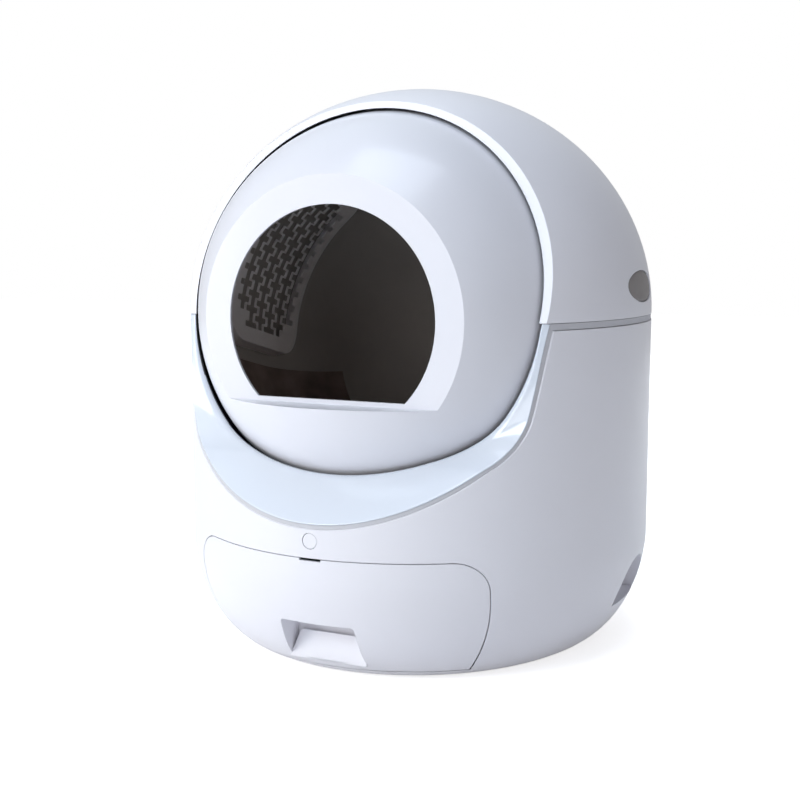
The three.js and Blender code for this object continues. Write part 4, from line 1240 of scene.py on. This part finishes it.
@dataclass
class DrumShells(Shell):
    """The drum's two shells: the front with its entry, and the back with its waste port."""

    face: float = 0.1615
    sill: float = 0.082
    split: float = 0.017
    split_gap: float = 0.0003
    door_radius: float = 0.1115
    door_lip: float = 0.0045
    door_cut: Point = (-0.05, 0.04)
    port_half_angle: float = math.radians(21.0)
    port_front: float = -0.066
    port_back: float = -0.132
    port_rim: float = 0.005
    rim_inset: float = 0.0002
    hub_radius: float = 0.022
    hub_inside: float = 0.008
    hub_outside: float = 0.004
    hub_edge: float = 0.001
    stub_radius: float = 0.010
    stub_length: float = 0.024
    touch: float = 1e-4

    def entry(self, inset: float) -> Solid:
        """What is taken off the front of the drum above the sill, set in by a wall."""
        _, y, z = self.drum.centre
        return Workshop.block((-FAR, -FAR, z - self.sill - inset), (FAR, y - self.face + inset, FAR))

    def doorway(self, steps: int = 96) -> list[Point]:
        """The outline of the doorway, round with a flat bottom, as places along X and Z.

        Args:
            steps: Edges of the round part.

        Returns:
            The corners.
        """
        start = math.asin((self.door_lip - self.sill) / self.door_radius)
        return [(self.door_radius * math.cos(t), self.drum.centre[2] + self.door_radius * math.sin(t))
                for t in Sums.spaced(start, math.pi - start, steps)]

    def front(self) -> None:
        """Cut the front shell and its doorway."""
        drum = self.drum
        low, high = (drum.centre[1] - self.face + end for end in self.door_cut)
        front = Workshop.piece(drum.solid(), "drum_front_shell")
        Workshop.carve(front, Cut.AWAY, self.entry(0.0),
                       Workshop.worked(drum.solid(-drum.wall), Cut.AWAY, self.entry(drum.wall)),
                       Workshop.prism(self.doorway(), Axis.Y, low, high))
        Workshop.carve(front, Cut.WITHIN, drum.slab(-self.split, FAR))
        self.settle(front, Finishes.DRUM, "drum_white", "drum", "drum_front", field=drum.normal)
        self.darken(front)

    def wedge(self, growth: float) -> Solid:
        """The waste port, a wedge about the drum's axis round the top, grown by a rim.

        Args:
            growth: Width of the rim.

        Returns:
            A closed solid.
        """
        half = self.port_half_angle + growth / self.drum.radius
        points = [(0.0, 0.0), *[(FAR * math.sin(t), FAR * math.cos(t)) for t in Sums.spaced(-half, half, 12)]]
        return self.drum.seated(Workshop.prism(points, Axis.Z, self.port_back - growth, self.port_front + growth))

    def rear(self) -> None:
        """Turn the back shell with its hub and cut the waste port with its rim."""
        drum, hub, stub, edge = self.drum, self.hub_radius, self.stub_radius, self.hub_edge
        pole, cut = -drum.barrel - drum.radius, -self.split - self.split_gap
        root, end = pole - self.hub_outside, pole - self.stub_length
        outer, inner = ([(drum.reach_at(cut, growth), cut),
                         *[(r, n) for r, n in drum.outline(growth) if n < cut and r > hub]]
                        for growth in (0.0, -drum.wall))
        profile = [inner[0], *outer, (hub, pole + edge), (hub, root), (stub + edge, root), (stub, root - edge),
                   (stub, end + edge), (stub - edge, end), (0.0, end), (0.0, pole + self.hub_inside),
                   (hub, pole + self.hub_inside), *reversed(inner[1:])]
        rear = Workshop.piece(drum.seated(Workshop.turned(profile, closed=True)), "drum_rear_shell")
        rim = Workshop.worked(drum.solid(-self.rim_inset), Cut.AWAY, drum.solid(-drum.wall - self.port_rim))
        Workshop.carve(rear, Cut.WITH, Workshop.worked(rim, Cut.WITHIN, self.wedge(self.port_rim)))
        Workshop.carve(rear, Cut.AWAY, self.wedge(0.0))
        self.settle(rear, Finishes.DRUM, "drum_white", "drum", "drum_rear", field=drum.normal)
        self.darken(rear)

    def hollow(self, co: Vector) -> bool:
        """Whether a point lies inside the drum's walls.

        Args:
            co: The point.

        Returns:
            True if it does.
        """
        _, y, z = self.drum.centre
        ahead = co.y < y - self.face + self.drum.wall and co.z > z - self.sill - self.drum.wall
        return not ahead and self.drum.distance(co) < self.drum.radius - self.drum.wall + self.touch

    def darken(self, obj: bpy.types.Object, step: float = 0.0015) -> None:
        """Give the faces that look into the drum's hollow the dark finish.

        Args:
            obj: The shell.
            step: How far in front of a face is looked.
        """
        obj.data.materials.append(Finishes.DARK.material())
        for face in obj.data.polygons:
            if self.hollow(face.center + step * face.normal):
                face.material_index = 1

    def build(self) -> None:
        """Build both shells."""
        self.front()
        self.rear()


@dataclass
class LitterLiner(Shell):
    """The dark lining in the bottom of the drum, higher on the right."""

    wall: float = 0.0025
    gap: float = 0.0033
    left: float = math.radians(74.0)
    right: float = math.radians(122.0)
    front: float = 0.108
    back: float = -0.190
    rows: int = 60
    columns: int = 110

    def build(self) -> None:
        """Turn a strip of the drum's inner form part of the way round."""
        rows = Sums.spaced(self.front, self.back, self.rows)
        outer = [(self.drum.reach_at(n, -self.gap), n) for n in rows]
        inner = [(self.drum.reach_at(n, -self.gap - self.wall), n) for n in reversed(rows)]
        bm = Workshop.chain([*outer, *inner], closed=True)
        face = bm.faces.new(bm.verts[:])
        Workshop.moved(bm, Matrix.Rotation(-math.pi / 2 - self.left, 4, "Z"))
        bmesh.ops.spin(bm, geom=[face], cent=(0, 0, 0), axis=(0, 0, 1), dvec=(0, 0, 0), angle=self.left + self.right,
                       steps=self.columns, use_merge=False, use_duplicate=False)
        bmesh.ops.triangulate(bm, faces=[f for f in bm.faces if len(f.verts) > 4])
        liner = Workshop.piece(self.drum.seated(Workshop.tidied(bm)), "liner")
        self.settle(liner, Finishes.LINER, "liner_brown", "drum", "litter_liner")


@dataclass
class SieveScreen(Shell):
    """The curved screen on the left: slots that turn from wide to narrow, between serpentine webs."""

    radius: float = 0.188
    wall: float = 0.0018
    rim_wall: float = 0.003
    top: float = math.radians(34.0)
    low: float = math.radians(102.0)
    front: float = 0.038
    length: float = 0.156
    corner: float = 0.034
    border: float = 0.011
    pitch: float = 0.021
    period: float = 0.018
    half_wide: float = 0.0131
    half_narrow: float = 0.0052
    web: float = 0.0022
    round_edge: float = 0.0012
    rim_height: float = 0.0185
    rim_foot: float = 0.001
    rim_top: float = 0.01
    rim_gap: float = 0.0003
    rim_play: float = 0.0002
    slots: int = 6
    slice_width: float = 0.004
    cutter: Point = (-0.01, 0.02)

    @property
    def half(self) -> float:
        """Half the flat screen's width, round the drum."""
        return self.radius * (self.low - self.top) / 2

    @property
    def middle(self) -> float:
        """The screen's middle along the drum's axis."""
        return self.front - self.length / 2

    def slot(self, along: float, rows: int, turn: int) -> Solid:
        """One slot as a cutter, with its corners rounded.

        Args:
            along: Its middle along the drum's axis.
            rows: Rows above and below its middle.
            turn: 0 if its middle row is wide, 1 if it is narrow.

        Returns:
            A closed solid through the flat screen.
        """
        run = self.period / 2
        wide_run = (run - self.web) / 2
        edge = []
        for row in range(-rows, rows + 1):
            wide = (row + turn) % 2 == 0
            reach = self.half_wide if wide else self.half_narrow
            low, high = (wide_run if wide or row == end else run - wide_run for end in (-rows, rows))
            edge += [(row * run - low, reach), (row * run + high, reach)]
        points = [(x, along + y) for x, y in edge] + [(x, along - y) for x, y in reversed(edge)]
        bm = Workshop.prism(points, Axis.Z, *self.cutter)
        upright = [e for e in bm.edges if abs(e.verts[0].co.z - e.verts[1].co.z) > self.cutter[1]]
        bmesh.ops.bevel(bm, geom=upright, offset=self.round_edge, offset_type="OFFSET", affect="EDGES", segments=2,
                        profile=0.5, material=-1, clamp_overlap=True)
        return bm

    def sheet(self, inset: float, low: float, high: float, steps: int = 14) -> Solid:
        """The flat screen's outline with round corners as a solid.

        Args:
            inset: How far the outline is set in.
            low: Where the solid starts.
            high: Where it ends.
            steps: Edges of each round corner.

        Returns:
            A closed solid.
        """
        wide, tall = self.half - self.corner, self.length / 2 - self.corner
        corner = self.corner - inset
        points = []
        for quarter, (x, y) in enumerate(((1, 1), (-1, 1), (-1, -1), (1, -1))):
            for t in Sums.spaced(0.5 * math.pi * quarter, 0.5 * math.pi * (quarter + 1), steps):
                points.append((x * wide + corner * math.cos(t), self.middle + y * tall + corner * math.sin(t)))
        return Workshop.prism(points, Axis.Z, low, high)

    def flat(self) -> Solid:
        """The screen as it lies flat, with its rim and its slots.

        Returns:
            A closed solid.
        """
        rim = Workshop.worked(self.sheet(0.0, 0.0, self.rim_height), Cut.AWAY,
                              self.sheet(self.rim_wall, self.rim_foot, 2 * self.rim_height))
        cutters = []
        for slot in range(self.slots):
            along = (slot - (self.slots - 1) / 2) * self.pitch
            past = max(0.0, abs(along) + self.half_wide - (self.length / 2 - self.corner))
            inner = self.corner - self.border
            reach = self.half - self.corner + math.sqrt(max(0.0, inner ** 2 - past ** 2))
            rows = math.floor((reach - self.period / 4) / (self.period / 2))
            cutters.append(self.slot(self.middle + along, rows, slot % 2))
        screen = Workshop.worked(self.sheet(0.0, 0.0, self.wall), Cut.WITH, rim)
        return Workshop.worked(screen, Cut.AWAY, *cutters)

    def build(self) -> None:
        """Slice the flat screen finely, and bend it round the drum's axis."""
        bm = self.flat()
        cuts = int(self.half / self.slice_width)
        for i in range(-cuts, cuts + 1):
            Workshop.sliced(bm, (i * self.slice_width, 0, 0), (1, 0, 0))
        for vert in bm.verts:
            x, along, z = vert.co
            reach = self.radius + z
            if z > self.rim_top:
                reach = min(reach, self.drum.reach_at(along, -self.drum.wall - self.rim_gap) - self.rim_play)
            t = (self.low + self.top) / 2 + x / self.radius
            vert.co = -reach * math.sin(t), reach * math.cos(t), along
        screen = Workshop.piece(self.drum.seated(Workshop.tidied(bm)), "screen")
        self.settle(screen, Finishes.SIEVE, "sieve_grey", "drum", "sieve_screen")


@dataclass
class Feet:
    """Four round rubber feet with rounded rims."""

    radius: float = 0.015
    height: float = 0.0037
    reach: Point = (0.112, 0.122)
    edge: float = 0.001
    facets: int = 48

    def build(self) -> None:
        """Turn each foot in its place."""
        rim = [(r, -z) for r, z in Sums.rim(self.radius, self.edge, 4)]
        for end, y in (("front", -1), ("rear", 1)):
            for hand, x in (("left", -1), ("right", 1)):
                bm = Workshop.turned([(0, 0), *rim, (self.radius, self.height), (0, self.height)], self.facets)
                bmesh.ops.translate(bm, vec=(x * self.reach[0], y * self.reach[1], 0), verts=bm.verts[:])
                foot = Workshop.piece(bm, f"rubber_foot_{end}_{hand}")
                Shell.settle(foot, Finishes.RUBBER, "rubber_black", "base", f"foot_{end}_{hand}")


class InnerWorks:
    """The CAD pieces that keep their shape and get a finish."""

    FINISHES: dict[str, Finish] = {
        "frame_grey": Finishes.FRAME, "gear_white": Finishes.GEAR, "rubber_black": Finishes.RUBBER,
        "steel": Finishes.STEEL, "board_green": Finishes.BOARD, "socket_black": Finishes.SOCKET,
        "bin_white": Finishes.BIN,
    }

    def build(self) -> None:
        """Dress every CAD piece that is still shown, by its material slot."""
        slots = {row["node"]: row["material_slot"] for row in frame["record"]["subparts"]}
        for name, obj in frame["nodes"].items():
            if not obj.hide_render:
                finish = self.FINISHES[slots[name]]
                finish.dress(obj)
                LOG.info("%s keeps its shape, in %s", name, finish.name)


@dataclass(frozen=True)
class Lamp:
    """A soft square lamp that points at the object.

    Its turn is in degrees round from the front, positive to the viewer's right, its rise in degrees
    above the floor and its power in watts. A lamp without gloss doesn't show in reflections.
    """

    name: str
    turn: float
    rise: float
    size: float
    power: float
    colour: Colour
    gloss: bool = True
    distance: float = 3.2
    aim: Place = (0.0, 0.0, 0.3)

    def hang(self) -> None:
        """Put the lamp in the scene."""
        data = bpy.data.lights.new(self.name, "AREA")
        data.shape, data.size, data.energy, data.color = "SQUARE", self.size, self.power, self.colour
        lamp = bpy.data.objects.new(self.name, data)
        a, e = math.radians(self.turn), math.radians(self.rise)
        away = Vector((math.sin(a) * math.cos(e), -math.cos(a) * math.cos(e), math.sin(e)))
        lamp.location = Vector(self.aim) + self.distance * away
        lamp.rotation_euler = (-away).to_track_quat("-Z", "Y").to_euler()
        lamp.visible_glossy = self.gloss
        bpy.context.scene.collection.objects.link(lamp)


@dataclass
class Studio:
    """The floor, the lamps and the camera."""

    image_width: int = 800
    focal_pixels: float = 1239.209
    sensor: float = 36.0
    camera_place: Place = (0.55643, -1.29403, 0.43500)
    camera_turn: float = math.radians(24.3094)
    camera_pitch: float = math.radians(-7.32172)
    ambient: float = 0.045
    ambient_colour: Colour = (1.0, 0.97, 1.05)
    gloss_share: float = 0.4
    floor_half: float = 6.0
    floor_colour: Colour = (0.86, 0.86, 0.87)
    floor_roughness: float = 0.9
    floor_glow: float = 0.70
    floor_fade: Point = (0.6, 2.0)
    lamps: tuple[Lamp, ...] = (
        Lamp("front", -20, 28, 1.2, 38.0, (0.82, 0.915, 1.0)),
        Lamp("side", -45, 8, 1.6, 34.0, (1.0, 0.95, 0.90)),
        Lamp("high", -45, 55, 1.8, 3.0, (0.97, 0.97, 1.0)),
        Lamp("level", 0, 6, 1.0, 7.5, (1.0, 0.97, 0.98)),
        Lamp("fill", 46, 7, 1.0, 6.0, (1.0, 0.955, 0.97)),
        Lamp("flank", 100, 12, 1.6, 7.0, (1.0, 0.97, 0.99), gloss=False),
        Lamp("crown", -150, 50, 1.8, 48.0, (0.85, 0.95, 1.0), gloss=False),
        Lamp("top", 0, 80, 2.0, 45.0, (0.77, 0.865, 1.0)),
        Lamp("rear", -172, 20, 2.4, 24.0, (0.97, 0.96, 1.0), gloss=False),
    )

    def camera(self) -> None:
        """Set the camera where the photograph was taken."""
        data = bpy.data.cameras.new("camera")
        data.sensor_width = self.sensor
        data.lens = self.focal_pixels * self.sensor / self.image_width
        camera = bpy.data.objects.new("camera", data)
        camera.location = self.camera_place
        camera.rotation_euler = (math.pi / 2 + self.camera_pitch, 0, self.camera_turn)
        bpy.context.scene.collection.objects.link(camera)
        bpy.context.scene.camera = camera

    def seen_directly(self, tree: Tree) -> Socket:
        """1 for what the camera sees itself or through glass, a share of it in gloss, else 0.

        Args:
            tree: The node tree that asks.

        Returns:
            The socket with the share.
        """
        path = tree.add("LightPath", {}).outputs
        total = path["Is Camera Ray"]
        for other, share in (("Is Glossy Ray", self.gloss_share), ("Is Transmission Ray", 1.0)):
            step = tree.add("Math", {0: path[other], 1: share, 2: total}, operation="MULTIPLY_ADD", use_clamp=True)
            total = step.outputs[0]
        return total

    def world(self) -> None:
        """White all round to the eye, and a plain soft light on the object."""
        world = bpy.data.worlds.new("studio")
        bpy.context.scene.world = world
        tree = Tree(world)
        seen = tree.feed(tree.nodes["Background"], {"Color": (1, 1, 1, 1), "Strength": 1.0})
        soft = tree.add("Background", {"Color": (*self.ambient_colour, 1), "Strength": self.ambient})
        mix = tree.add("MixShader", {0: self.seen_directly(tree), 1: soft.outputs[0], 2: seen.outputs[0]})
        tree.feed(tree.nodes["World Output"], {"Surface": mix.outputs[0]})

    def floor(self) -> None:
        """Lay a pale floor that is white to the eye but keeps the object's shadow."""
        bm = bmesh.new()
        bmesh.ops.create_grid(bm, x_segments=2, y_segments=2, size=self.floor_half)
        floor = Workshop.piece(bm, "floor")
        material = bpy.data.materials.new("floor_white")
        tree = Tree(material)
        paint = tree.feed(tree.nodes["Principled BSDF"], {"Base Color": (*self.floor_colour, 1),
                                                           "Roughness": self.floor_roughness})
        place = tree.add("TexCoord", {}).outputs["Object"]
        reach = tree.add("VectorMath", {0: place}, operation="LENGTH").outputs["Value"]
        rise = tree.mapped(reach, self.floor_fade, (self.floor_glow, 1.0))
        strength = tree.add("Math", {0: self.seen_directly(tree), 1: rise}, operation="MULTIPLY").outputs[0]
        glow = tree.add("Emission", {"Color": (1, 1, 1, 1), "Strength": strength})
        both = tree.add("AddShader", {0: paint.outputs[0], 1: glow.outputs[0]})
        tree.feed(tree.nodes["Material Output"], {"Surface": both.outputs[0]})
        floor.data.materials.append(material)

    def build(self) -> None:
        """Set up the studio."""
        self.camera()
        self.world()
        self.floor()
        for lamp in self.lamps:
            lamp.hang()
        bpy.context.scene.view_settings.view_transform = "Standard"


def main() -> None:
    """Build the studio, then the litter box piece by piece."""
    logging.basicConfig(level=logging.INFO, format="%(message)s")
    Studio().build()
    forms = (CabinetForm(), DrumForm(), MouthForm())
    for kind in (Hood, Crescent, SeamTrim, BaseShell, Drawer, FrontButton, DrumShells, LitterLiner, SieveScreen):
        kind(*forms).build()
    Feet().build()
    InnerWorks().build()


if __name__ == "__main__":
    main()
